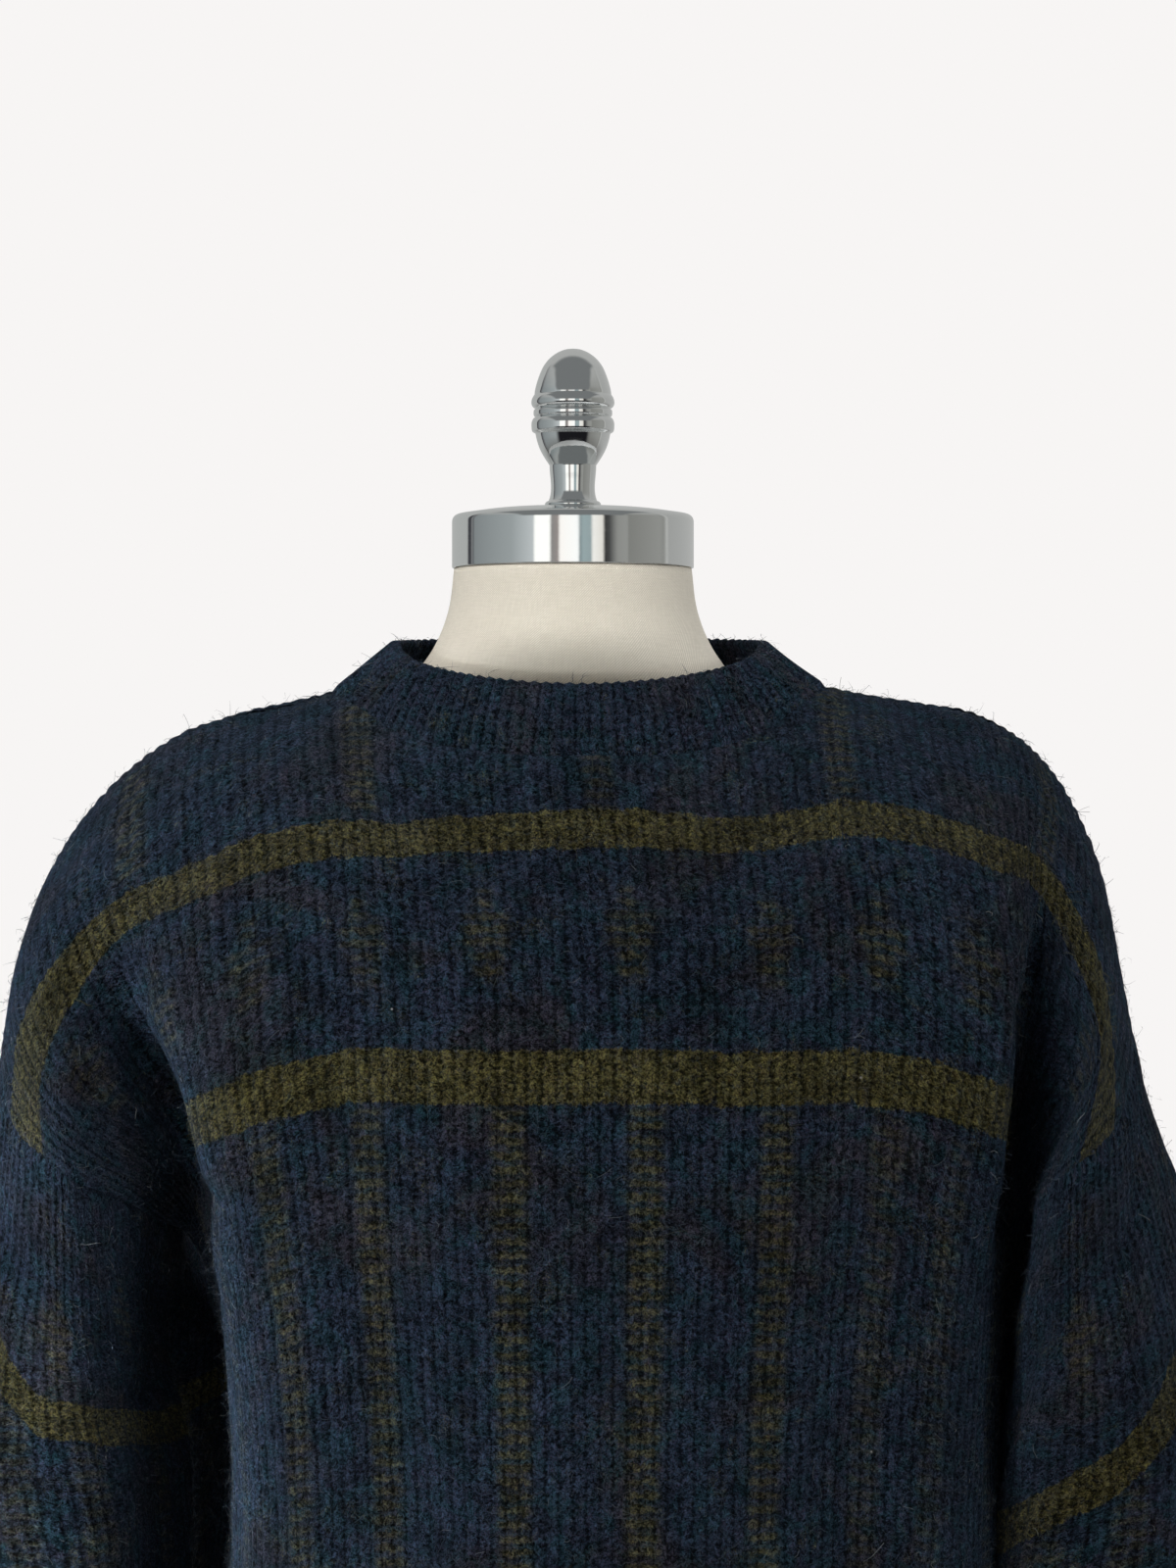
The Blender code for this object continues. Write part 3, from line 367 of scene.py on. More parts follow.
# How much of each the guide lines take, from the centre to the edge
SQUARE_UP_SHARE = (0.00, 0.00, 0.10, 0.60, 1.20, 1.10, 0.00)
SQUARE_IN_SHARE = (0.00, 0.00, 0.00, 0.30, 1.00, 1.20, 0.50)

# The right side is held in a little below its arm. Each row gives the length down and how far in.
#     down    in
RIGHT_HOLLOW = (
    (0.000, 0.000),
    (0.260, 0.000),
    (0.320, 0.006),
    (0.390, 0.010),
    (0.480, 0.008),
    (0.600, 0.003),
)
RIGHT_HOLLOW_SHARE = (0.00, 0.00, 0.10, 0.50, 0.90, 1.00, 1.00)

# Soft vertical folds below the chest: panel (1 front, -1 back), place across, length down where
# the fold starts and where it is full, its half width, and how far it stands out (in is negative).
#    panel across  start  full   width  height
BODY_FOLDS = (
    (1, -0.150, 0.220, 0.360, 0.026, 0.005),
    (1, -0.098, 0.260, 0.420, 0.026, -0.004),
    (1, 0.040, 0.330, 0.520, 0.032, -0.003),
    (1, 0.118, 0.240, 0.400, 0.026, -0.005),
    (1, 0.165, 0.230, 0.340, 0.024, 0.004),
    (-1, -0.110, 0.180, 0.360, 0.034, -0.006),
    (-1, -0.030, 0.260, 0.460, 0.036, 0.004),
    (-1, 0.085, 0.160, 0.380, 0.036, -0.006),
    (-1, 0.150, 0.240, 0.380, 0.026, 0.004),
)

# Rings of a hanging sleeve: cloth length down from the armhole seam, the ring's height and middle,
# its reach inwards and outwards from there, half its depth, and how far its inner face is dented.
#     down   middle_z middle_x reach_in reach_out half_depth dent
SLEEVE_RINGS = (
    (0.000, -0.205, 0.226, 0.046, 0.036, 0.104, 0.000),
    (0.060, -0.262, 0.236, 0.070, 0.046, 0.106, 0.012),
    (0.130, -0.330, 0.240, 0.076, 0.054, 0.102, 0.014),
    (0.220, -0.420, 0.240, 0.073, 0.056, 0.092, 0.012),
    (0.310, -0.510, 0.239, 0.066, 0.052, 0.079, 0.010),
    (0.400, -0.600, 0.237, 0.054, 0.043, 0.064, 0.006),
    (0.470, -0.668, 0.235, 0.044, 0.036, 0.052, 0.000),
)
SLEEVE_MIDDLE = 0.236
INNER_POWER = 3.6
OUTER_POWER = 1.55
LOOP_FADE = 0.170
FALL_OUT = 0.20
FALL_APART = 0.10
RISE_FADE = 0.420
# A row for each sleeve: its way in x, how far the hanging part stands further out, how much its
# inner reach is shortened to clear the body, how much it leans in towards the back, how steeply its
# back corner falls in under the arm, and how far its courses drop on the inner side and rise on the
# outer.
#            way   out    short  lean   fall   drop   rise
SLEEVES = {
    "right": (-1.0, 0.000, 0.000, 0.280, 0.450, 0.000, 0.021),
    "left": (1.0, 0.012, 0.010, 0.040, 0.150, 0.012, 0.030),
}
# Folds of a sleeve: name, fraction of its girth where the fold lies, length down of its middle,
# half its width round the sleeve and along it, slant along per way round, and height.
#      name   fraction down   round  along  slant  height
SLEEVE_FOLDS = (
    ("right", 0.30, 0.235, 0.10, 0.016, 0.10, -0.006),
    ("right", 0.62, 0.275, 0.12, 0.018, -0.12, -0.007),
    ("right", 0.10, 0.330, 0.10, 0.018, 0.10, -0.005),
    ("left", 0.34, 0.250, 0.12, 0.017, -0.10, -0.006),
    ("left", 0.66, 0.215, 0.10, 0.018, 0.12, -0.006),
    ("left", 0.12, 0.310, 0.10, 0.020, -0.10, -0.005),
)

# Level sections of the torso: height, half width, reach to the front and back, and the power of
# the rounded outline, 2 for an ellipse and more for a squarer one.
#     z      half_x  front   back  power
TORSO_SECTIONS = (
    (-0.680, 0.140, 0.090, 0.088, 2.3),
    (-0.620, 0.150, 0.096, 0.092, 2.3),
    (-0.540, 0.152, 0.098, 0.092, 2.3),
    (-0.400, 0.122, 0.092, 0.080, 2.2),
    (-0.300, 0.132, 0.104, 0.086, 2.2),
    (-0.200, 0.148, 0.112, 0.096, 2.2),
    (-0.130, 0.158, 0.104, 0.099, 2.2),
    (-0.085, 0.170, 0.088, 0.093, 2.0),
    (-0.055, 0.179, 0.070, 0.078, 1.8),
    (-0.038, 0.180, 0.058, 0.064, 1.8),
    (-0.026, 0.170, 0.050, 0.055, 1.8),
    (-0.016, 0.149, 0.037, 0.046, 1.8),
    (-0.006, 0.101, 0.033, 0.047, 1.8),
    (0.004, 0.078, 0.047, 0.052, 1.9),
    (0.014, 0.0685, 0.054, 0.055, 2.0),
    (0.024, 0.0625, 0.057, 0.057, 2.0),
    (0.036, 0.0580, 0.056, 0.056, 2.0),
    (TORSO_TOP, 0.0550, 0.055, 0.055, 2.0),
)

# Turned profile of the finial, as stretches of radius and height: the foot and stem, the cup, the
# three rings and the dome
FINIAL_STRETCHES = (
    ((0.0004, 0.0857), (0.0128, 0.0857)),
    ((0.0128, 0.0857), (0.0130, 0.0866), (0.0124, 0.0876), (0.0112, 0.0882)),
    ((0.0112, 0.0882), (0.0108, 0.0894), (0.0108, 0.1046)),
    (
        (0.0108, 0.1046),
        (0.0124, 0.1070),
        (0.0140, 0.1096),
        (0.0154, 0.1124),
        (0.0166, 0.1159),
        (0.0174, 0.1194),
    ),
    (
        (0.0174, 0.1194),
        (0.0187, 0.1202),
        (0.0192, 0.1226),
        (0.0190, 0.1250),
        (0.0181, 0.1265),
        (0.0174, 0.1269),
    ),
    ((0.0174, 0.1269), (0.0181, 0.1277), (0.01825, 0.1289), (0.0181, 0.1301), (0.0174, 0.1309)),
    (
        (0.0174, 0.1309),
        (0.0184, 0.1315),
        (0.0192, 0.1330),
        (0.0192, 0.1344),
        (0.0186, 0.1362),
        (0.0178, 0.1374),
    ),
    (
        (0.0178, 0.1374),
        (0.0177, 0.1386),
        (0.0170, 0.1418),
        (0.0155, 0.1464),
        (0.0134, 0.1509),
        (0.0104, 0.1545),
        (0.0072, 0.1568),
        (0.0035, 0.1583),
        (0.0004, 0.1587),
    ),
)

# Creases pressed into the cloth: the places across and down of both ends, the half width
# and the height, where less than nothing is a trough. The front's follow the photo.
#    across  down   across  down   width  height
FRONT_CREASES = (
    (-0.222, 0.128, -0.236, 0.205, 0.013, -0.0050),
    (-0.205, 0.150, -0.196, 0.235, 0.012, 0.0022),
    (-0.150, 0.020, -0.205, 0.060, 0.012, -0.0012),
    (-0.242, 0.235, -0.190, 0.262, 0.010, -0.0022),
    (-0.120, 0.250, -0.100, 0.440, 0.014, -0.0016),
    (-0.060, 0.270, -0.070, 0.520, 0.016, 0.0014),
    (0.020, 0.300, 0.006, 0.560, 0.018, -0.0012),
    (0.090, 0.240, 0.100, 0.500, 0.015, 0.0015),
    (0.237, 0.128, 0.200, 0.172, 0.010, -0.0045),
    (0.200, 0.172, 0.212, 0.262, 0.010, -0.0048),
    (0.178, 0.150, 0.184, 0.250, 0.012, 0.0024),
    (0.255, 0.150, 0.290, 0.215, 0.012, -0.0024),
    (0.150, 0.030, 0.210, 0.070, 0.012, -0.0012),
)
BACK_CREASES = (
    (-0.225, 0.120, -0.205, 0.230, 0.013, -0.0045),
    (-0.190, 0.140, -0.170, 0.240, 0.013, 0.0022),
    (-0.080, 0.240, -0.110, 0.500, 0.016, -0.0016),
    (-0.020, 0.260, -0.010, 0.540, 0.018, 0.0014),
    (0.070, 0.220, 0.090, 0.480, 0.015, -0.0018),
    (0.225, 0.125, 0.205, 0.235, 0.012, -0.0046),
    (0.180, 0.140, 0.160, 0.250, 0.012, 0.0022),
    (-0.060, 0.050, 0.050, 0.065, 0.016, -0.0014),
)
# The same on the sleeves, with the place round the sleeve measured from the shoulder line to the
# front. The right sleeve's come first.
#    round   down   round   down   width  height
SLEEVE_CREASES = {
    "right": (
        (0.060, 0.030, 0.170, 0.075, 0.011, -0.0022),
        (0.100, 0.090, 0.126, 0.150, 0.009, -0.0030),
        (0.140, 0.130, 0.215, 0.105, 0.011, -0.0026),
        (0.080, 0.190, 0.180, 0.215, 0.012, -0.0028),
        (0.070, 0.255, 0.160, 0.300, 0.012, 0.0024),
        (0.050, 0.350, 0.150, 0.380, 0.010, -0.0026),
        (-0.160, 0.120, -0.060, 0.160, 0.012, -0.0028),
        (-0.150, 0.250, -0.050, 0.230, 0.012, 0.0024),
        (-0.120, 0.330, -0.030, 0.370, 0.010, -0.0024),
    ),
    "left": (
        (0.050, 0.020, 0.150, 0.070, 0.011, -0.0024),
        (0.165, 0.060, 0.200, 0.150, 0.010, -0.0028),
        (0.080, 0.110, 0.160, 0.150, 0.012, -0.0026),
        (0.070, 0.200, 0.170, 0.190, 0.012, 0.0024),
        (0.050, 0.280, 0.150, 0.310, 0.011, -0.0028),
        (0.060, 0.370, 0.140, 0.350, 0.010, -0.0022),
        (-0.170, 0.100, -0.070, 0.150, 0.012, -0.0028),
        (-0.150, 0.230, -0.040, 0.260, 0.012, -0.0026),
        (-0.110, 0.340, -0.030, 0.320, 0.010, 0.0022),
    ),
}

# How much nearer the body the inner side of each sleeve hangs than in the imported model
SLEEVE_LEAN = {"right": 0.0, "left": 0.0120}

# The coloured pattern, charted from the photo. The two bands' middles run level round the cloth,
# a little higher where the shoulders draw the courses up.
#    across  down
BAND_1 = (
    (-0.320, 0.112),
    (-0.250, 0.105),
    (-0.205, 0.101),
    (-0.180, 0.1045),
    (-0.160, 0.1080),
    (-0.125, 0.1112),
    (-0.107, 0.1122),
    (-0.088, 0.1103),
    (-0.069, 0.1075),
    (-0.050, 0.1078),
    (0.000, 0.111),
    (0.090, 0.105),
    (0.148, 0.102),
    (0.200, 0.098),
    (0.237, 0.101),
    (0.285, 0.118),
    (0.320, 0.121),
)
BAND_1_HALF = 0.0092
BAND_2 = (
    (-0.320, 0.222),
    (-0.210, 0.211),
    (-0.138, 0.221),
    (0.000, 0.222),
    (0.120, 0.222),
    (0.202, 0.212),
    (0.320, 0.222),
)
BAND_2_HALF = 0.0120
# Across the back they run nearly level
BACK_BAND_1 = ((-0.320, 0.112), (-0.200, 0.110), (0.000, 0.113), (0.200, 0.110), (0.320, 0.121))
BACK_BAND_2 = ((-0.320, 0.222), (0.000, 0.224), (0.320, 0.222))
# Bands round the sleeves, by place round from the shoulder line to the front
SLEEVE_BANDS = {
    "right": (
        (-0.280, 0.122),
        (0.000, 0.080),
        (0.095, 0.079),
        (0.129, 0.119),
        (0.157, 0.124),
        (0.226, 0.132),
        (0.280, 0.130),
    ),
    "left": (
        (-0.280, 0.130),
        (0.000, 0.100),
        (0.089, 0.118),
        (0.129, 0.147),
        (0.170, 0.166),
        (0.240, 0.182),
        (0.280, 0.176),
    ),
}
SLEEVE_BAND_HALF = 0.0105
SLEEVE_STRIPE_HALF = 0.0070
# Shares of full olive
BAND_2_STRENGTH = 0.86
SLEEVE_STRIPE_STRENGTH = 0.6
SLEEVE_MOTIF_STRENGTH = 0.7
# Upright stripes of short dashes below the second band: place across, half width and strength
#    across  half    strength
STRIPES = (
    (-0.260, 0.0072, 0.50),
    (-0.207, 0.0072, 0.45),
    (-0.156, 0.0068, 0.85),
    (-0.109, 0.0072, 0.95),
    (-0.0435, 0.0076, 1.00),
    (0.0175, 0.0078, 1.00),
    (0.0765, 0.0072, 0.95),
    (0.128, 0.0070, 0.50),
    (0.162, 0.0065, 0.40),
    (0.215, 0.0072, 0.45),
    (0.268, 0.0072, 0.50),
)
STRIPE_TOP = 0.236
# The same on the sleeves, by place round
SLEEVE_STRIPES = (-0.225, -0.170, -0.115, -0.060, -0.002, 0.058, 0.118, 0.150, 0.205)
# Columns of dashes above the first band: place across, start and end down, half width, strength
#    across  start   end    half    strength
DASHES = (
    (-0.203, 0.018, 0.086, 0.0068, 0.75),
    (-0.102, 0.030, 0.098, 0.0068, 0.85),
    (0.0045, 0.074, 0.104, 0.0062, 0.70),
    (0.115, 0.000, 0.100, 0.0068, 0.80),
    (0.226, 0.018, 0.090, 0.0068, 0.70),
)
# Small crossed motifs between the bands: place across and down of the middle, and strength
#    across  down   strength
MOTIFS = (
    (-0.258, 0.150, 0.55),
    (-0.202, 0.153, 0.70),
    (-0.155, 0.156, 0.60),
    (-0.107, 0.160, 0.75),
    (-0.051, 0.157, 0.95),
    (0.012, 0.158, 0.90),
    (0.074, 0.160, 0.80),
    (0.124, 0.159, 0.90),
    (0.164, 0.156, 0.70),
    (0.216, 0.152, 0.55),
    (0.268, 0.150, 0.55),
)
# A motif from top to bottom: start and end from its middle, and half width
#    start   end     half
MOTIF_SHAPE = (
    (-0.0200, -0.0080, 0.0034),
    (-0.0080, 0.0070, 0.0102),
    (0.0070, 0.0220, 0.0062),
)
SLEEVE_MOTIFS = ((0.195, 0.058), (0.140, 0.075), (0.030, 0.050), (-0.060, 0.060), (-0.150, 0.070))


def through(knots, values, where):
    """A smooth curve through the values at the knots: cubic pieces that share slopes at each knot."""
    knots, values = np.asarray(knots, float), np.asarray(values, float)
    slopes = np.gradient(values, knots, axis=0)
    where = np.clip(np.asarray(where, float), knots[0], knots[-1])
    piece = np.clip(np.searchsorted(knots, where, side="right") - 1, 0, len(knots) - 2)
    by_row = (-1,) + (1,) * (values.ndim - 1)
    width = (knots[piece + 1] - knots[piece]).reshape(by_row)
    part = ((where - knots[piece]).reshape(by_row)) / width
    rest = 1.0 - part
    return (
        (1 + 2 * part) * rest**2 * values[piece]
        + part**2 * (3 - 2 * part) * values[piece + 1]
        + part * rest**2 * width * slopes[piece]
        - part**2 * rest * width * slopes[piece + 1]
    )


def across_guides(knots, points, where):
    """The same cubic, for each row of points (row, guide, xyz) at its own place across."""
    slopes = np.gradient(points, knots, axis=1)
    where = np.clip(where, knots[0], knots[-1])
    piece = np.clip(np.searchsorted(knots, where, side="right") - 1, 0, len(knots) - 2)
    row = np.arange(len(where))
    width = (knots[piece + 1] - knots[piece])[:, None]
    part = (where - knots[piece])[:, None] / width
    rest = 1.0 - part
    return (
        (1 + 2 * part) * rest**2 * points[row, piece]
        + part**2 * (3 - 2 * part) * points[row, piece + 1]
        + part * rest**2 * width * slopes[row, piece]
        - part**2 * rest * width * slopes[row, piece + 1]
    )


def eased(value, start, end):
    """0 before start, 1 after end, and a smooth step between."""
    share = np.clip((value - start) / (end - start), 0.0, 1.0)
    return share * share * (3 - 2 * share)


def guide(rows, down):
    """The smooth curve through a table's rows, whose first column is the length down."""
    table = np.array(rows)
    return through(table[:, 0], table[:, 1:], down)


def over_shoulder(front_rows, back_rows):
    """One table down the back, as negative lengths, over the shoulder line and down the front."""
    back = np.array(back_rows)[:0:-1] * np.array((-1.0, 1.0, 1.0, 1.0))
    return np.concatenate([back, np.array(front_rows)])


def to_back(rows):
    """The rows of a front guide turned round for the back, which is a little flatter."""
    return np.array(rows) * np.array((1.0, 1.0, -BACK_SHARE, 1.0))


def edge_guide(down):
    """The panel's side edge: the armhole down to the underarm, then the side seam, which lies at y = 0."""
    round_armhole = over_shoulder(ARMHOLE_EDGE, to_back(ARMHOLE_EDGE))
    armhole = guide(round_armhole, np.clip(down, -ARMHOLE_DEPTH, ARMHOLE_DEPTH))
    seam = guide(SIDE_SEAM, np.maximum(np.abs(down), ARMHOLE_DEPTH))
    return np.where((np.abs(down) <= ARMHOLE_DEPTH)[:, None], armhole, seam)


def fold_height(across, down):
    """How far the soft vertical folds stand out: a bell across each, growing down its length."""
    height = np.zeros(across.shape)
    for panel, middle, start, full, width, tall in BODY_FOLDS:
        length = np.maximum(panel * down, 0.0)
        height += tall * np.exp(-(((across - middle) / width) ** 2)) * eased(length, start, full)
    return height


def body_surface(across, down):
    """The outer surface at a place across and a length down from the shoulder line, as points.

    Lengths on the back are negative, so that the cloth runs smoothly over the shoulder line. Seven
    guide lines a side give the places across at each length, and a cubic joins them.
    """
    shape = across.shape
    across, down = across.ravel(), down.ravel()
    fronts = (FRONT_CENTRE, FRONT_NECK_MIDDLE, FRONT_NECK_SIDE)
    backs = (BACK_CENTRE, BACK_NECK_MIDDLE, BACK_NECK_SIDE)
    tables = [over_shoulder(front, back) for front, back in zip(fronts, backs)]
    tables += [over_shoulder(rows, to_back(rows)) for rows in (CORNER, TUCK, CROWN)]
    half = np.stack([guide(rows, down) for rows in tables] + [edge_guide(down)], axis=1)
    square = guide(SQUARE_SHOULDER, np.abs(down))
    left = half.copy()
    left[:, :, 0] -= square[:, 1:2] * np.array(SQUARE_IN_SHARE)
    left[:, :, 2] += square[:, 0:1] * np.array(SQUARE_UP_SHARE)
    half[:, :, 0] -= guide(RIGHT_HOLLOW, np.abs(down)) * np.array(RIGHT_HOLLOW_SHARE)
    right = half[:, :0:-1] * np.array((-1.0, 1.0, 1.0))
    points = np.concatenate([right, left], axis=1)
    knots = np.concatenate([-GUIDE_ACROSS[:0:-1], GUIDE_ACROSS])
    length = np.abs(down)
    inner_shift = NECK_SHIFT + (BODY_SHIFT - NECK_SHIFT) * eased(length, 0.020, 0.200)
    outer_shift = BODY_SHIFT * eased(length, 0.060, 0.240)
    edge_shift = BODY_SHIFT * eased(length, 0.150, ARMHOLE_DEPTH)
    shifts = [edge_shift] + [outer_shift] * 2 + [inner_shift] * 7 + [outer_shift] * 2 + [edge_shift]
    points[:, :, 0] += np.stack(shifts, axis=1)
    surface = across_guides(knots, points, across)
    surface[:, 1] -= np.sign(down) * fold_height(across, down)
    return surface.reshape(*shape, 3)


def panel_surface(across, down, front):
    """The outer surface of the front or the back panel, both with lengths down counted as positive."""
    return body_surface(across, down if front else -down)


def neckline(across, drop):
    """Cloth length from the shoulder line down to the cut neckline, at a place across."""
    share = np.clip(np.abs(across) / NECK_HALF_WIDTH, 0.0, 1.0)
    return drop * (1.0 - share**NECKLINE_POWER) ** (1.0 / NECKLINE_POWER)


def value_noise(first, second, size_first, size_second, seed):
    """Smooth random heights between -1 and 1 on a lattice of the given sizes, eased between its points."""
    table = np.random.default_rng(seed).uniform(-1.0, 1.0, (NOISE_ROWS, NOISE_COLUMNS))
    u, v = first / size_first, second / size_second
    low_u, low_v = np.floor(u).astype(int), np.floor(v).astype(int)
    part_u, part_v = u - low_u, v - low_v
    part_u, part_v = part_u * part_u * (3 - 2 * part_u), part_v * part_v * (3 - 2 * part_v)
    rows = [(low_v + step) % NOISE_ROWS for step in (0, 1)]
    columns = [(low_u + step) % NOISE_COLUMNS for step in (0, 1)]
    corner = [table[row, column] for row in rows for column in columns]
    upper = corner[0] * (1 - part_u) + corner[1] * part_u
    lower = corner[2] * (1 - part_u) + corner[3] * part_u
    return upper * (1 - part_v) + lower * part_v


def grid_normals(points, closed, outwards):
    """Unit normals of a grid of points (row, column, xyz), on the side that outwards points to."""
    if closed:
        wide = np.concatenate([points[:, -1:], points, points[:, :1]], axis=1)
        along = np.gradient(wide, axis=1)[:, 1:-1]
    else:
        along = np.gradient(points, axis=1)
    down = np.gradient(points, axis=0)
    normal = np.cross(along, down)
    normal /= np.maximum(np.linalg.norm(normal, axis=-1, keepdims=True), 1e-12)
    return normal * np.sign(np.sum(normal * outwards))


def from_middle(points):
    """Level directions from the figure's axis to each point."""
    away = points - np.array((BODY_SHIFT, 0.0, 0.0))
    away[..., 2] = 0.0
    return away


def unit(vectors):
    """The vectors divided by their own lengths."""
    return vectors / np.linalg.norm(vectors, axis=-1, keepdims=True)


def segment_heights(first, second, table):
    """The sum of soft ridges and troughs along straight stretches of cloth.

    Each row of the table gives both ends, the half width and the height, which is negative for a
    trough. The height falls off as a bell with the distance from the stretch.
    """
    height = np.zeros(first.shape)
    for first_0, second_0, first_1, second_1, width, tall in table:
        run = np.array((first_1 - first_0, second_1 - second_0))
        share = ((first - first_0) * run[0] + (second - second_0) * run[1]) / (run @ run)
        share = np.clip(share, 0.0, 1.0)
        gap = np.hypot(first - first_0 - share * run[0], second - second_0 - share * run[1])
        height += tall * np.exp(-((gap / width) ** 2))
    return height


def ridge(phase, sharp=2.5):
    """One raised wale for each whole step of the phase: round on top, with a narrow groove between."""
    part = phase - np.floor(phase)
    return 1.0 - np.abs(2 * part - 1) ** sharp


def sleeve_ring(down, fraction, name):
    """A ring of the hanging sleeve, by cloth length down and fraction of its girth.

    Each half is a superellipse: blunt towards the body, and drawn to a crease at the front and back
    on the outer side. A dent in the inner face makes room for the body, and the ring's plane drops
    towards the body and rises outwards.
    """
    way, out, short, lean, _, drop, rise = SLEEVES[name]
    table = np.array(SLEEVE_RINGS)
    middle_z, middle_x, reach_in, reach_out, half_depth, dent = through(table[:, 0], table[:, 1:], down).T
    angle = np.linspace(0.0, 2 * pi, 721)
    cosine, sine = np.cos(angle), np.sin(angle)
    power = np.where(cosine > 0, OUTER_POWER, INNER_POWER)
    along = np.sign(cosine) * np.abs(cosine) ** (2 / power)
    deep = np.sign(sine) * np.abs(sine) ** (2 / power)
    reach = np.where(cosine > 0, reach_out[:, None], reach_in[:, None] - short)
    hollow = dent[:, None] * np.exp(-(((angle - pi) / 0.75) ** 2))
    y = -half_depth[:, None] * deep
    x = middle_x[:, None] + reach * along + hollow - lean * y
    fade = 1.0 - eased(down, 0.150, RISE_FADE)
    tilt = rise * np.maximum(along, 0.0) ** 1.5 + drop * np.minimum(along, 0.0)
    z = middle_z[:, None] + fade[:, None] * tilt
    length = np.cumsum(np.hypot(np.diff(x, axis=1), np.diff(y, axis=1)), axis=1)
    girth = np.concatenate([np.zeros((len(down), 1)), length], axis=1)
    row = range(len(down))
    wanted = [fraction[i] * girth[i, -1] for i in row]
    ring = [np.array([np.interp(wanted[i], girth[i], part[i]) for i in row]) for part in (x, y, z)]
    ring[0] = way * (ring[0] + out)
    return np.stack(ring, axis=-1)


def sleeve_fold_height(fraction, down, name):
    """How far the sleeve's slanting folds stand out: a bell across each and one along it."""
    height = np.zeros(fraction.shape)
    for sleeve, middle, length, wide, tall, slant, rise in SLEEVE_FOLDS:
        if sleeve == name:
            offset = fraction - middle
            along = down - length - slant * offset
            height += rise * np.exp(-((offset / wide) ** 2) - (along / tall) ** 2)
    return height


def armhole_loop(fraction, side):
    """The armhole seam as a loop: 0 at the shoulder tip, a half at the underarm, by the front first."""
    front = fraction <= 0.5
    down = 2 * ARMHOLE_DEPTH * np.where(front, fraction, 1.0 - fraction)
    across = np.full(down.shape, side * PANEL_HALF_WIDTH)
    on_front = panel_surface(across, down, True)
    on_back = panel_surface(across, down, False)
    return np.where(front[..., None], on_front, on_back)


def sleeve_surface(fraction, down, name):
    """The outer surface of a sleeve: the armhole loop let down, fading into the hanging rings."""
    side, fall_in = SLEEVES[name][0], SLEEVES[name][4]
    loop = armhole_loop(fraction, side)
    ring = sleeve_ring(down[:, 0], fraction, name)
    turn = 2 * pi * fraction
    back_corner = np.maximum(-np.sin(turn), 0.0) * np.maximum(-np.cos(turn), 0.0)
    outwards = side * (FALL_OUT * np.cos(turn) ** 2 - 2 * fall_in * back_corner)
    fall = np.stack([outwards, -FALL_APART * np.sin(turn), np.full(turn.shape, -1.0)], axis=-1)
    let_down = loop + unit(fall) * down[..., None]
    share = eased(down, 0.0, LOOP_FADE)[..., None]
    surface = let_down * (1.0 - share) + ring * share
    facing = np.stack([side * np.cos(turn), -np.sin(turn), np.zeros(turn.shape)], axis=-1)
    return surface + facing * sleeve_fold_height(fraction, down, name)[..., None]


def collar_top(angle):
    """The collar's upper edge: an oval round the neck that lies in a plane tilted to the front."""
    deep = np.where(np.sin(angle) < 0, COLLAR_TOP_FRONT, COLLAR_TOP_BACK)
    x = NECK_SHIFT + COLLAR_TOP_HALF_WIDTH * np.cos(angle)
    y = deep * np.sin(angle)
    return np.stack([x, y, COLLAR_TOP_HEIGHT + COLLAR_TILT * np.minimum(y, 0.0)], axis=1)


def softly_within(value, start, end, soft=0.0026):
    """1 between start and end, and 0 outside them, with soft edges."""
    return eased(value, start - soft, start + soft) * (1.0 - eased(value, end - soft, end + soft))


def band(down, middle, half, jag):
    """1 within a half width of the middle, with soft edges that the jag moves up and down."""
    return softly_within(down, middle - half + jag, middle + half + jag)


def motif_chart(across, down, motifs):
    """The crossed motifs at their places: stem, bar and foot, one below the other."""
    height = np.zeros(across.shape)
    for middle, length, strength in motifs:
        for start, end, half in MOTIF_SHAPE:
            shown = softly_within(across, middle - half, middle + half)
            shown = shown * softly_within(down, length + start, length + end)
            height = np.maximum(height, shown * strength)
    return height


def panel_chart(across, down, front):
    """How strongly each place shows the solid olive, the dashed olive and the rust of the pattern."""
    seed = 11 if front else 12
    jag = 0.0011 * value_noise(across, down, WALE, 0.5, seed)
    broader = 1.0 + 0.9 * eased(np.abs(across), 0.215, 0.285) * front
    upper = np.interp(across, *np.array(BAND_1 if front else BACK_BAND_1).T)
    lower = np.interp(across, *np.array(BAND_2 if front else BACK_BAND_2).T)
    first = band(down, upper, BAND_1_HALF * broader, jag)
    second = band(down, lower, BAND_2_HALF, jag)
    lower_half = first * eased(down - upper, -0.002, 0.004)
    sideways = 0.0010 * value_noise(across, down, 0.5, COURSE, seed + 2)
    dashed = np.zeros(across.shape)
    for middle, half, strength in STRIPES:
        shown = softly_within(across + sideways, middle - half, middle + half)
        dashed = np.maximum(dashed, strength * shown * eased(down, STRIPE_TOP - 0.002, STRIPE_TOP + 0.002))
    for middle, start, end, half, strength in DASHES:
        shown = softly_within(across + sideways, middle - half, middle + half)
        dashed = np.maximum(dashed, strength * shown * softly_within(down, start, end))
    if front:
        second = second * (1.0 - eased(np.abs(across), 0.228, 0.242))
    solid = np.maximum(first, BAND_2_STRENGTH * second)
    dashed = np.maximum(dashed, motif_chart(across + sideways, down, MOTIFS))
    return np.stack([solid, dashed, lower_half], axis=-1)


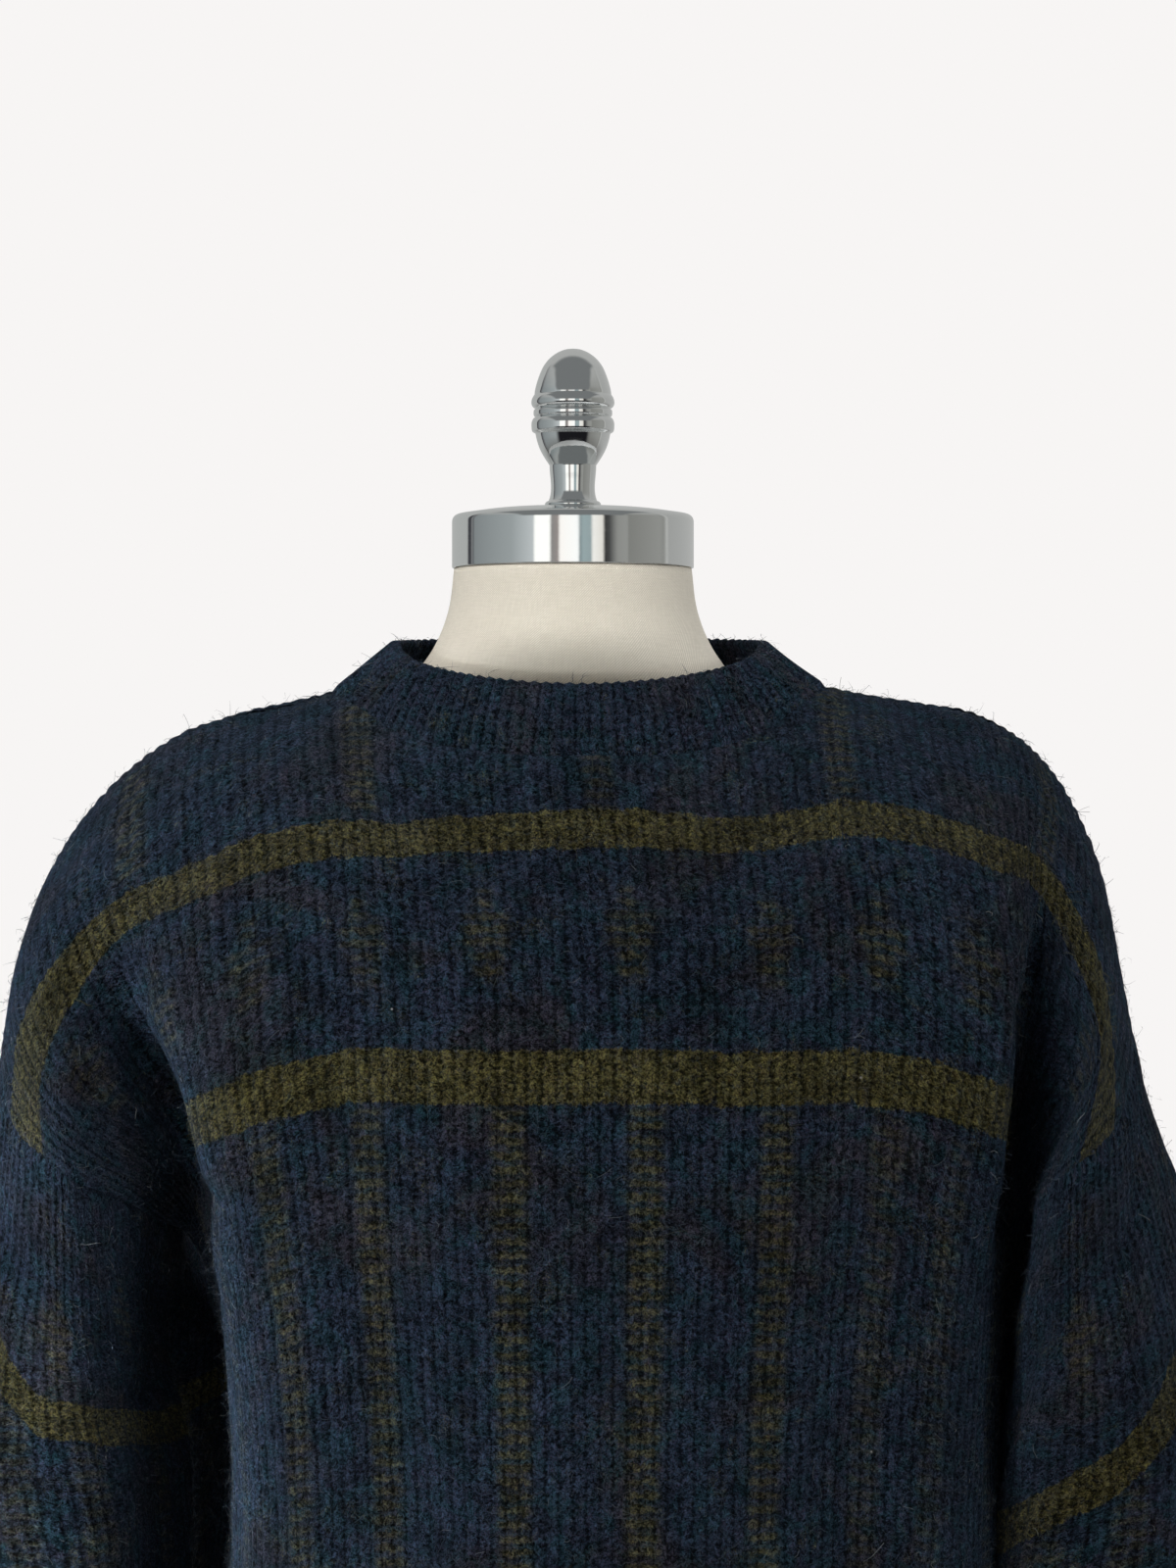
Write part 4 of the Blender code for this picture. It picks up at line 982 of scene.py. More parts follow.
def sleeve_chart(round_place, down, name):
    """The pattern of a sleeve: one band, stripes of dashes below it and motifs above it."""
    seed = 21 if name == "right" else 22
    jag = 0.0011 * value_noise(round_place, down, WALE, 0.5, seed)
    middle = np.interp(round_place, *np.array(SLEEVE_BANDS[name]).T)
    solid = band(down, middle, SLEEVE_BAND_HALF, jag)
    sideways = 0.0010 * value_noise(round_place, down, 0.5, COURSE, seed + 2)
    dashed = np.zeros(down.shape)
    for place in SLEEVE_STRIPES:
        start, end = place - SLEEVE_STRIPE_HALF, place + SLEEVE_STRIPE_HALF
        shown = softly_within(round_place + sideways, start, end)
        dashed = np.maximum(dashed, SLEEVE_STRIPE_STRENGTH * shown * eased(down - middle, 0.010, 0.014))
    motifs = [(place, length, SLEEVE_MOTIF_STRENGTH) for place, length in SLEEVE_MOTIFS]
    dashed = np.maximum(dashed, motif_chart(round_place + sideways, down, motifs))
    return np.stack([solid, dashed, 0.3 * solid], axis=-1)


def make_mesh(name, points, faces, uv, chart, material, outwards):
    """One object from points, faces and a place on the cloth for each face corner.

    The faces are turned round where their normals point against outwards, which has one vector a
    point. The neck point's height is added here.
    """
    faces = np.asarray(faces)
    a, b, c = (points[faces[:, i]] for i in (0, 1, 2))
    facing = np.sum(np.cross(b - a, c - a) * outwards[faces[:, 0]])
    corner_uv = uv
    if facing < 0:
        faces = faces[:, ::-1]
        corner_uv = uv[:, ::-1]
    lifted = points + np.array((0.0, 0.0, NECK_POINT_HEIGHT))
    mesh = bpy.data.meshes.new(name)
    mesh.vertices.add(len(lifted))
    mesh.vertices.foreach_set("co", lifted.astype(np.float32).ravel())
    count, sides = faces.shape
    mesh.loops.add(count * sides)
    mesh.polygons.add(count)
    mesh.loops.foreach_set("vertex_index", faces.ravel())
    mesh.polygons.foreach_set("loop_start", np.arange(count) * sides)
    mesh.polygons.foreach_set("loop_total", np.full(count, sides))
    mesh.update(calc_edges=True)
    mesh.polygons.foreach_set("use_smooth", np.ones(count, bool))
    layer = mesh.uv_layers.new(name="cloth")
    layer.data.foreach_set("uv", corner_uv.astype(np.float32).ravel())
    if chart is not None:
        attribute = mesh.attributes.new("chart", "FLOAT_VECTOR", "POINT")
        attribute.data.foreach_set("vector", chart.astype(np.float32).ravel())
    mesh.validate()
    mesh.materials.append(material)
    made = bpy.data.objects.new(name, mesh)
    bpy.context.scene.collection.objects.link(made)
    return made


def grid_quads(rows, columns, closed):
    """Point numbers of a grid's quads, row by row. A closed grid joins its last column to its first."""
    number = np.arange(rows * columns).reshape(rows, columns)
    if closed:
        number = np.concatenate([number, number[:, :1]], axis=1)
    corners = (number[:-1, :-1], number[:-1, 1:], number[1:, 1:], number[1:, :-1])
    return np.stack([corner.ravel() for corner in corners], axis=1)


def quad_uvs(u, v):
    """Places on the cloth for the corners of a grid's quads. A closed grid needs one more column."""
    place = np.stack([u, v], axis=-1)
    corners = (place[:-1, :-1], place[:-1, 1:], place[1:, 1:], place[1:, :-1])
    return np.stack([corner.reshape(-1, 2) for corner in corners], axis=1)


def joined(piece):
    """The same piece with the points that lie on each other made one, which closes its seams."""
    edit = bmesh.new()
    edit.from_mesh(piece.data)
    bmesh.ops.remove_doubles(edit, verts=edit.verts, dist=2e-6)
    edit.to_mesh(piece.data)
    edit.free()
    piece.data.polygons.foreach_set("use_smooth", np.ones(len(piece.data.polygons), bool))
    return piece


def knit_relief(place, down, seed):
    """Height of the raised wales over the cloth, uneven from wale to wale as hand-fed wool is."""
    wander = 0.20 * value_noise(place, down, WALE, 0.011, seed)
    thick = 1.0 + 0.75 * value_noise(place, down, WALE, 0.0060, seed + 1)
    soft = 0.00070 * value_noise(place, down, 0.034, 0.041, seed + 2)
    soft += 0.00035 * value_noise(place, down, 0.013, 0.016, seed + 3)
    return RIDGE * thick * (ridge(place / WALE + wander, 1.8) - 0.6) + soft


def seam_tuck(border):
    """How far the cloth's edge turns in at a seam, by its distance from the edge."""
    return -TUCK_DEPTH * np.exp(-((border / TUCK_REACH) ** 2))


def make_panel(name, front, rows, material):
    """The knitted front or back.

    Its points are the smooth surface at each place across and down, moved along the normal by the
    wales, the creases and the turned-in edges.
    """
    columns, lengths = np.meshgrid(
        np.linspace(-PANEL_HALF_WIDTH, PANEL_HALF_WIDTH, 4 * WALES + 1),
        np.linspace(0.0, PANEL_LENGTH, rows),
    )
    top = neckline(columns, FRONT_NECK_DROP if front else BACK_NECK_DROP)
    down = top + lengths * (1.0 - top / PANEL_LENGTH)
    smooth = panel_surface(columns, down, front)
    normal = grid_normals(smooth, False, from_middle(smooth))
    border = np.minimum(down - top, PANEL_LENGTH - down)
    border = np.minimum(border, PANEL_HALF_WIDTH - np.abs(columns))
    height = knit_relief(columns + PANEL_HALF_WIDTH, down, 101 if front else 201)
    height += segment_heights(columns, down, FRONT_CREASES if front else BACK_CREASES)
    height += seam_tuck(border)
    points = smooth + normal * height[..., None]
    chart = panel_chart(columns, down, front)
    piece = make_mesh(
        name,
        points.reshape(-1, 3),
        grid_quads(*columns.shape, False),
        quad_uvs(columns + PANEL_HALF_WIDTH, down),
        chart.reshape(-1, 3),
        material,
        from_middle(points).reshape(-1, 3),
    )
    return piece, points, normal, chart


def sleeve_width(down):
    """The width of the flat sleeve at a length down: it narrows evenly from the armhole to the cuff."""
    return 2 * ARMHOLE_DEPTH + (SLEEVE_END_WIDTH - 2 * ARMHOLE_DEPTH) * down / SLEEVE_LENGTH


def make_sleeve(name, material):
    """A sleeve whose wales run straight down and end one after the other at the underarm seam."""
    side = SLEEVES[name][0]
    half_wales = ARMHOLE_DEPTH / WALE
    columns = np.arange(-ceil(4 * half_wales), ceil(4 * half_wales) + 1) / 4 * WALE
    place, down = np.meshgrid(columns, np.linspace(0.0, SLEEVE_LENGTH, SLEEVE_ROWS))
    width = sleeve_width(down)
    place = np.clip(place, -width / 2, width / 2)
    fraction = place / width

    def surface(turn, length):
        return sleeve_surface(turn % 1.0, length, name)

    smooth = surface(fraction, down)
    step = 0.0008
    inside = np.clip(down, step, SLEEVE_LENGTH - step)
    along = surface(fraction + step, inside) - surface(fraction - step, inside)
    length = surface(fraction, inside + step) - surface(fraction, inside - step)
    normal = unit(np.cross(along, length))
    away = smooth - np.array((side * SLEEVE_MIDDLE + SLEEVES[name][1] * side, 0.0, 0.0))
    away[..., 2] = 0.0
    normal *= np.sign(np.sum(normal * away))
    border = np.minimum(down, SLEEVE_LENGTH - down)
    height = knit_relief(place, down, 301 if name == "right" else 401)
    height += segment_heights(place, down, SLEEVE_CREASES[name])
    height += seam_tuck(border)
    height *= eased(width / 2 - np.abs(place), -0.001, 0.004)
    points = smooth + normal * height[..., None]
    inner = eased(np.abs(fraction), 0.24, 0.42) * eased(down, 0.0, 0.06)
    inner *= 1.0 - eased(down, 0.36, 0.46)
    points[..., 0] -= side * SLEEVE_LEAN[name] * inner
    points[0] += (points[0] - points[1]) * 0.5 - normal[0] * SLEEVE_SUNK
    chart = sleeve_chart(place, down, name)
    faces = grid_quads(*place.shape, False)
    uv = quad_uvs(place + 0.5, down + 1.0)
    flat = points.reshape(-1, 3)
    a, b, c, d = (flat[faces[:, i]] for i in range(4))
    doubled = np.linalg.norm(np.cross(c - a, d - b), axis=1)
    kept = doubled > 1e-10
    piece = make_mesh(
        f"{name}_sleeve_knit",
        flat,
        faces[kept],
        uv[kept],
        chart.reshape(-1, 3),
        material,
        away.reshape(-1, 3),
    )
    return joined(piece), points, normal, chart


def divided(points, normals, count):
    """A closed ring of points divided evenly along its length, and its normals there."""
    ring = np.concatenate([points, points[:1]])
    facing = np.concatenate([normals, normals[:1]])
    length = np.concatenate([[0.0], np.cumsum(np.linalg.norm(np.diff(ring, axis=0), axis=1))])
    where = np.arange(count) * length[-1] / count
    place = np.stack([np.interp(where, length, ring[:, i]) for i in range(3)], axis=1)
    normal = np.stack([np.interp(where, length, facing[:, i]) for i in range(3)], axis=1)
    return place, unit(normal), length[-1]


def make_rib(name, ring, facing, finish, finish_facing, bulge, thick, inner_share, seed, material):
    """A ribbed band between two rings, turned over at its free edge and a little way back inside.

    Down the band, its points go from the seam to the free edge on the outside, round a half circle
    of the wall's thickness, and back on the inside. One wale of each rib stands out.
    """
    count = len(ring)
    ribs = count // 4
    share_out = np.linspace(-0.05, 1.0, RIB_ROWS)
    turn = np.linspace(0.0, pi, RIB_TURN_ROWS + 1)[1:]
    share_back = np.linspace(1.0, inner_share, RIB_RETURN_ROWS + 1)[1:]
    share = np.concatenate([share_out, np.ones(RIB_TURN_ROWS), share_back])[:, None, None]
    outside, returned = np.zeros(RIB_ROWS), np.ones(RIB_RETURN_ROWS)
    inwards = np.concatenate([outside, (1 - np.cos(turn)) / 2, returned])[:, None, None]
    over = np.concatenate([outside, np.sin(turn) / 2, np.zeros(RIB_RETURN_ROWS)])[:, None, None]
    normal = unit(facing * (1 - share) + finish_facing * share)
    onwards = unit(finish - ring)
    line = ring * (1 - share) + finish * share + normal * bulge * 4 * share * (1 - share)
    points = line - normal * thick * inwards + onwards * thick * over
    points[0] -= normal[0] * RIB_SUNK
    place = np.arange(count) / 4 * RIB_PITCH
    across, length = np.meshgrid(place, np.arange(len(share)) * 0.002)
    phase = across / RIB_PITCH + 0.08 * value_noise(across, length, RIB_PITCH, 0.012, seed)
    raised = (0.5 + 0.5 * np.cos(2 * pi * phase)) ** 1.2
    shown = (1.0 - inwards[..., 0]) * eased(share[..., 0], 0.0, 0.12)
    tall = 1.0 + 0.3 * value_noise(across, length, RIB_PITCH, 0.009, seed + 1)
    height = RIB_HEIGHT * tall * (raised - 0.55) * shown
    height += 0.0004 * value_noise(across, length, 0.021, 0.017, seed + 2) * shown
    height += seam_tuck(length * (inwards[..., 0] < 0.01) + 0.1 * (inwards[..., 0] >= 0.01)) * 0.8
    points = points + normal * height[..., None]
    points = points + onwards * (over * (raised * 0.0010)[..., None])
    gap = np.linalg.norm(np.diff(points, axis=0), axis=-1).mean(axis=1)
    v = np.concatenate([[0.0], np.cumsum(gap)])
    u_wide = np.broadcast_to(np.arange(count + 1) / 4 * RIB_PITCH, (len(v), count + 1))
    v_wide = np.broadcast_to(v[:, None], u_wide.shape)
    chart = np.zeros((*across.shape, 3))
    outwards = normal * np.where(inwards > 0.5, -1.0, 1.0)
    piece = make_mesh(
        name,
        points.reshape(-1, 3),
        grid_quads(*across.shape, True),
        quad_uvs(u_wide, v_wide + 2.0),
        chart.reshape(-1, 3),
        material,
        outwards.reshape(-1, 3),
    )
    visible = RIB_ROWS + 4
    return piece, points[:visible], normal[:visible], chart[:visible], ribs * RIB_PITCH, float(v[-1])


def ring_of_panels(front_row, back_row):
    """One closed ring from a row of the front and a row of the back, which share their ends."""
    return np.concatenate([front_row, back_row[-2:0:-1]])


def neck_ring(count_per_rib):
    """The neckline seam and its normals, divided evenly into whole ribs."""
    across = np.linspace(-NECK_HALF_WIDTH, NECK_HALF_WIDTH, 481)
    rows, facing = [], []
    for front, drop in ((True, FRONT_NECK_DROP), (False, BACK_NECK_DROP)):
        top = neckline(across, drop)
        place = np.stack([across, across])
        down = np.stack([top, top])
        step = 0.002
        rows.append(panel_surface(place, down, front)[0])
        below = down + step
        along = panel_surface(place + step, below, front) - panel_surface(place - step, below, front)
        length = panel_surface(place, down + 2 * step, front) - panel_surface(place, below, front)
        normal = unit(np.cross(along, length))[0]
        facing.append(-normal if front else normal)
    ridge_line = unit(facing[0][[0, -1]] + facing[1][[0, -1]])
    for side in facing:
        side[0], side[-1] = ridge_line
    ring, normal = ring_of_panels(*rows), ring_of_panels(*facing)
    girth = np.linalg.norm(ring - np.roll(ring, -1, axis=0), axis=1).sum()
    return divided(ring, normal, count_per_rib * round(girth / RIB_PITCH))


def make_collar(material):
    """The collar, from the neckline seam to its upper edge, where it leans outwards."""
    ring, facing, _ = neck_ring(4)
    angle = np.arctan2(ring[:, 1] / COLLAR_TOP_FRONT, (ring[:, 0] - NECK_SHIFT) / COLLAR_TOP_HALF_WIDTH)
    rise = np.full(angle.shape, COLLAR_OUTWARDS_RISE)
    outwards = unit(np.stack([np.cos(angle), np.sin(angle), rise], axis=1))
    beside = (np.abs(np.cos(angle)) ** 4)[:, None]
    finish = collar_top(angle) - beside * np.array((0.0, 0.0, COLLAR_SIDE_DROP))
    bulge = COLLAR_BULGE - COLLAR_SIDE_FLATTER * beside
    return make_rib("collar_knit", ring, facing, finish, outwards, bulge, WALL, 0.15, 501, material)


def make_hem(front_points, back_points, material):
    """The hem band, from the panels' last rows to the same ring drawn in and let down."""
    ring = ring_of_panels(front_points[-1], back_points[-1])
    facing = unit(from_middle(ring))
    girth = np.linalg.norm(ring - np.roll(ring, -1, axis=0), axis=1).sum()
    ring, facing, _ = divided(ring, facing, 4 * round(girth / RIB_PITCH))
    middle = ring.mean(axis=0)
    finish = middle + (ring - middle) * HEM_DRAW_IN - np.array((0.0, 0.0, HEM_DEPTH - EDGE_ROUND))
    return make_rib("hem_knit", ring, facing, finish, facing, HEM_BULGE, WALL, 0.55, 511, material)


def make_cuff(name, sleeve_points, material):
    """A cuff, from the sleeve's last row to the same ring drawn in and let down."""
    side = SLEEVES[name][0]
    ring = sleeve_points[-1]
    kept = np.linalg.norm(ring - np.roll(ring, 1, axis=0), axis=1) > 1e-5
    ring = ring[kept]
    middle = ring.mean(axis=0)
    facing = unit((ring - middle) * np.array((1.0, 1.0, 0.0)) + np.array((1e-9, 0.0, 0.0)))
    girth = np.linalg.norm(ring - np.roll(ring, -1, axis=0), axis=1).sum()
    ring, facing, _ = divided(ring, facing, 4 * round(girth / RIB_PITCH))
    drop = np.array((side * CUFF_LEAN, 0.0, CUFF_DEPTH - EDGE_ROUND))
    finish = middle + (ring - middle) * CUFF_DRAW_IN - drop
    seed = 521 if name == "right" else 531
    title = f"{name}_cuff_knit"
    return make_rib(title, ring, facing, finish, facing, CUFF_BULGE, WALL, 0.5, seed, material)


def oval_ring(half_x, front, back, power, turn):
    """A level outline whose quarters are superellipses, at the given angles round."""
    cosine, sine = np.cos(turn), np.sin(turn)
    x = half_x * np.sign(cosine) * np.abs(cosine) ** (2 / power)
    y = np.where(sine < 0, front, back) * np.sign(sine) * np.abs(sine) ** (2 / power)
    return x, y


def make_torso(material):
    """The form's body and neck: level outlines through the section table, closed at both ends."""
    table = np.array(TORSO_SECTIONS)
    round_turn = np.linspace(0.0, 2 * pi, TORSO_SEGMENTS + 1)
    turn = round_turn[:-1]
    rounding = np.linspace(0.0, 1.0, 7)[:-1]
    body = np.linspace(TORSO_UNDERSIDE_TOP, -0.100, 46)
    shoulders_and_neck = np.linspace(-0.094, TORSO_TOP, 54)
    heights = np.concatenate([body, shoulders_and_neck])
    rings = []
    for height in heights:
        half_x, front, back, power = through(table[:, 0], table[:, 1:], np.array([height]))[0]
        x, y = oval_ring(half_x, front, back, power, turn)
        rings.append(np.column_stack([x, y, np.full(TORSO_SEGMENTS, height)]))
    lowest = rings[0]
    lower = []
    for share in rounding:
        shrink = 1.0 - TORSO_UNDERSIDE_SHRINK * (1.0 - np.sin(share * pi / 2))
        ring = lowest * np.array((shrink, shrink, 1.0))
        ring[:, 2] = TORSO_BOTTOM + (heights[0] - TORSO_BOTTOM) * (1 - np.cos(share * pi / 2))
        lower.append(ring)
    for shrink in (0.5, 0.02):
        lower.insert(0, lower[0] * np.array((shrink, shrink, 1.0)))
    upper = [rings[-1] * np.array((shrink, shrink, 1.0)) for shrink in (0.5, 0.02)]
    grid = np.array(lower + rings + upper)
    away = grid * np.array((1.0, 1.0, 0.0)) + np.array((0.0, 0.0, 1e-6))
    place = np.broadcast_to(round_turn * LINEN_RADIUS, (len(grid), TORSO_SEGMENTS + 1))
    length = np.broadcast_to(grid[:, 0, 2][:, None], place.shape)
    faces = grid_quads(len(grid), TORSO_SEGMENTS, True)
    uv = quad_uvs(place, length)
    points = grid.reshape(-1, 3)
    return make_mesh("linen_body", points, faces, uv, None, material, away.reshape(-1, 3))


def rounded_profile(rows, soft, steps=5):
    """The profile with each of its inner corners rounded: short arcs between points near the corner."""
    rows = np.array(rows)
    out = [rows[0]]
    for before, corner, after, radius in zip(rows[:-2], rows[1:-1], rows[2:], soft):
        back, on = before - corner, after - corner
        reach = min(radius, 0.45 * np.linalg.norm(back), 0.45 * np.linalg.norm(on))
        start = corner + unit(back) * reach
        finish = corner + unit(on) * reach
        share = np.linspace(0.0, 1.0, steps)[:, None]
        out.extend((1 - share) ** 2 * start + 2 * share * (1 - share) * corner + share**2 * finish)
    out.append(rows[-1])
    return np.array(out)


def smooth_profile(stretches, step=0.00035):
    """Radii and heights on smooth curves through each stretch's points, with a corner where two meet."""
    out = []
    for stretch in stretches:
        rows = np.array(stretch)
        length = np.concatenate([[0.0], np.cumsum(np.linalg.norm(np.diff(rows, axis=0), axis=1))])
        where = np.linspace(0.0, length[-1], max(2, ceil(length[-1] / step)))
        out.append(through(length, rows, where)[:-1])
    out.append(rows[-1:])
    return np.concatenate(out)


def swept_round(rows, circle):
    """Pairs of level reach and height carried round the axis, as a grid (row, segment, xyz)."""
    level = rows[:, None, :1] * circle
    upright = np.broadcast_to(rows[:, None, 1:], (*level.shape[:2], 1))
    return np.concatenate([level, upright], axis=2)


def make_turned(name, profile, segments, material):
    """A piece turned round the stand's axis: a circle at each radius and height, closed at its poles."""
    profile = np.asarray(profile)
    turn = np.arange(segments) * 2 * pi / segments
    circle = np.stack([np.cos(turn), np.sin(turn)], axis=1)
    rings = swept_round(profile, circle)
    slope = np.gradient(profile, axis=0)
    away = swept_round(np.stack([slope[:, 1], -slope[:, 0]], axis=1), circle)
    u = np.broadcast_to(np.linspace(0.0, 2 * pi, segments + 1) * 0.05, (len(profile), segments + 1))
    v = np.broadcast_to(profile[:, 1][:, None], u.shape)
    faces = grid_quads(len(profile), segments, True)
    points, outwards = rings.reshape(-1, 3), away.reshape(-1, 3)
    return make_mesh(name, points, faces, quad_uvs(u, v), None, material, outwards)


def make_stand(chrome):
    """The chromed cap and finial, and below the body the pole and the round base."""
    cap = rounded_profile(
        (
            (TINY, CAP_BOTTOM),
            (CAP_RADIUS, CAP_BOTTOM),
            (CAP_RADIUS, CAP_EDGE),
            (CAP_RADIUS * 0.62, CAP_TOP - 0.0008),
            (TINY, CAP_TOP),
        ),
        (0.0006, 0.0034, 0.020),
        steps=9,
    )
    pieces = [(make_turned("chrome_cap", cap, 160, chrome), "neck_cap")]
    finial = smooth_profile(FINIAL_STRETCHES)
    pieces.append((make_turned("chrome_finial", finial, 128, chrome), "finial"))
    foot = BASE_CROWN + SEAT_GAP - NECK_POINT_HEIGHT
    head = TORSO_BOTTOM - SEAT_GAP
    pole = rounded_profile(
        (
            (TINY, foot),
            (POLE_FOOT_RADIUS, foot),
            (POLE_FOOT_RADIUS, foot + 0.0036),
            (POLE_STEM_RADIUS, foot + 0.006),
            (POLE_RADIUS, foot + 0.012),
            (POLE_RADIUS, head - 0.012),
            (POLE_STEM_RADIUS, head - 0.006),
            (POLE_HEAD_RADIUS, head - 0.0036),
            (POLE_HEAD_RADIUS, head),
            (TINY, head),
        ),
        (0.0006, 0.001, 0.004, 0.004, 0.004, 0.004, 0.001, 0.0006),
        steps=4,
    )
    pieces.append((make_turned("chrome_pole", pole, 64, chrome), "stand_pole"))
    floor = -NECK_POINT_HEIGHT
    base = rounded_profile(
        (
            (TINY, floor),
            (BASE_RADIUS, floor),
            (BASE_RADIUS, floor + BASE_RIM),
            (0.6 * BASE_RADIUS, floor + 0.011),
            (0.040, floor + BASE_CROWN),
            (TINY, floor + BASE_CROWN),
        ),
        (0.0015, 0.0025, 0.03, 0.02),
        steps=7,
    )
    pieces.append((make_turned("chrome_base", base, 128, chrome), "base_plate"))
    return pieces


def make_fuzz(name, sources, count, seed, material):
    """Loose fibres that stand off the cloth: curled ribbons of five triangles, drawn to a point.

    Each source is a grid of points, its normals and its chart, with its share of the fibres. A fibre
    starts at a random place, runs across the cloth in a random direction, and lifts as it bends.
    """
    rng = np.random.default_rng(seed)
    starts, normals, runs, charts = [], [], [], []
    for points, normal, chart, share in sources:
        amount = int(count * share)
        row = rng.integers(0, points.shape[0] - 1, amount)
        column = rng.integers(0, points.shape[1] - 1, amount)
        part = rng.random((amount, 2, 1))
        here = points[row, column]
        along = points[row, column + 1] - here
        down = points[row + 1, column] - here
        starts.append(here + along * part[:, 0] + down * part[:, 1])
        normals.append(normal[row, column])
        runs.append(unit(down + 1e-9))
        charts.append(chart[row, column])
    start, normal = np.concatenate(starts), unit(np.concatenate(normals))
    run, chart = np.concatenate(runs), np.concatenate(charts)
    total = len(start)
    side = unit(np.cross(run, normal))
    angle = rng.uniform(0.0, 2 * pi, total)
    curl = rng.normal(0.0, 1.1, total)
    second_curl = rng.normal(0.0, 1.1, total)
    length = rng.gamma(3.0, FIBRE_SPREAD, total) + FIBRE_SHORTEST
    lift = rng.gamma(1.5, FIBRE_LIFT, total)
    place = start - normal * 0.0003
    path = [place]
    for step in range(3):
        turned = angle + curl * step * 0.5 + second_curl * step * step * 0.25
        flat = np.cos(turned)[:, None] * run + np.sin(turned)[:, None] * side
        rise = (lift * (1.0, 0.8, -0.2)[step])[:, None] * normal
        place = place + flat * (length / 3)[:, None] + rise
        path.append(place)
    path = np.stack(path, axis=1)
    forward = unit(np.gradient(path, axis=1))
    spin = rng.uniform(0.0, pi, total)[:, None, None]
    level = unit(np.cross(forward, normal[:, None, :]))
    upright = np.cross(level, forward)
    broad = np.cos(spin) * level + np.sin(spin) * upright
    wide = rng.uniform(FIBRE_THIN, FIBRE_THICK, total)[:, None, None]
    left, right = path - broad * wide, path + broad * wide
    sides = np.stack([left[:, :3], right[:, :3]], axis=2).reshape(total, 6, 3)
    points = np.concatenate([sides, path[:, 3:]], axis=1)
    shape = np.array(((0, 1, 3), (0, 3, 2), (2, 3, 5), (2, 5, 4), (4, 5, 6)))
    faces = (np.arange(total)[:, None, None] * 7 + shape).reshape(-1, 3)
    tone = rng.random(total)
    told = np.column_stack([chart[:, 0], chart[:, 1], tone])
    told = np.repeat(told[:, None, :], 7, axis=1).reshape(-1, 3)
    uv = np.broadcast_to(np.array((tone, tone)).T[:, None, None, :], (total, 5, 3, 2)).reshape(-1, 3, 2)
    outwards = np.repeat(normal[:, None, :], 7, axis=1).reshape(-1, 3)
    return make_mesh(name, points.reshape(-1, 3), faces, uv, told, material, outwards)


# Materials

def new_material(name):
    """A material with its nodes and its main shader."""
    material = bpy.data.materials.new(name)
    material.use_nodes = True
    tree = material.node_tree
    return material, tree, tree.nodes["Principled BSDF"]


def put(tree, kind, values=(), **settings):
    """Adds a node, with its settings, and sets or links its inputs by name or number."""
    made = tree.nodes.new(kind)
    for key, value in settings.items():
        setattr(made, key, value)
    for key, value in dict(values).items():
        if isinstance(value, bpy.types.NodeSocket):
            tree.links.new(value, made.inputs[key])
        else:
            made.inputs[key].default_value = value
    return made


def calc(tree, operation, first, second=0.0):
    """The result of one sum, product or other operation on one or two values."""
    values = {0: first, 1: second}
    return put(tree, "ShaderNodeMath", values, operation=operation).outputs[0]


def fit(tree, value, low, high, to_low=0.0, to_high=1.0):
    """The value carried from one range to another with a smooth step."""
    values = {"Value": value, "From Min": low, "From Max": high, "To Min": to_low, "To Max": to_high}
    return put(tree, "ShaderNodeMapRange", values, interpolation_type="SMOOTHSTEP").outputs["Result"]


def blend(tree, share, first, second):
    """Colours mixed by a share. They may be sockets or red, green and blue."""
    values = {}
    for key, value in ((0, share), (6, first), (7, second)):
        plain = isinstance(value, tuple)
        values[key] = (*value, 1.0) if plain else value
    return put(tree, "ShaderNodeMix", values, data_type="RGBA").outputs[2]


def noise(tree, vector, scale, detail=2.0, roughness=0.5, distortion=0.0):
    """A cloudy value of about 0.5, at a scale, with finer detail added."""
    values = {"Vector": vector, "Scale": scale, "Detail": detail}
    values |= {"Roughness": roughness, "Distortion": distortion}
    return put(tree, "ShaderNodeTexNoise", values).outputs["Fac"]


def moved(tree, vector, offset=(0.0, 0.0, 0.0), scale=(1.0, 1.0, 1.0)):
    """A place shifted and stretched, so that two patterns don't fall together."""
    values = {"Vector": vector, "Location": offset, "Scale": scale}
    return put(tree, "ShaderNodeMapping", values).outputs[0]


def hair_lines(tree, vector, scale, offset, width, distortion):
    """Curling lines: where a bent noise passes through its middle value."""
    shifted = moved(tree, vector, offset)
    value = noise(tree, shifted, scale, 1.0, 0.5, distortion)
    gap = calc(tree, "ABSOLUTE", calc(tree, "SUBTRACT", value, 0.5))
    return fit(tree, gap, 0.0, width, 1.0, 0.0)


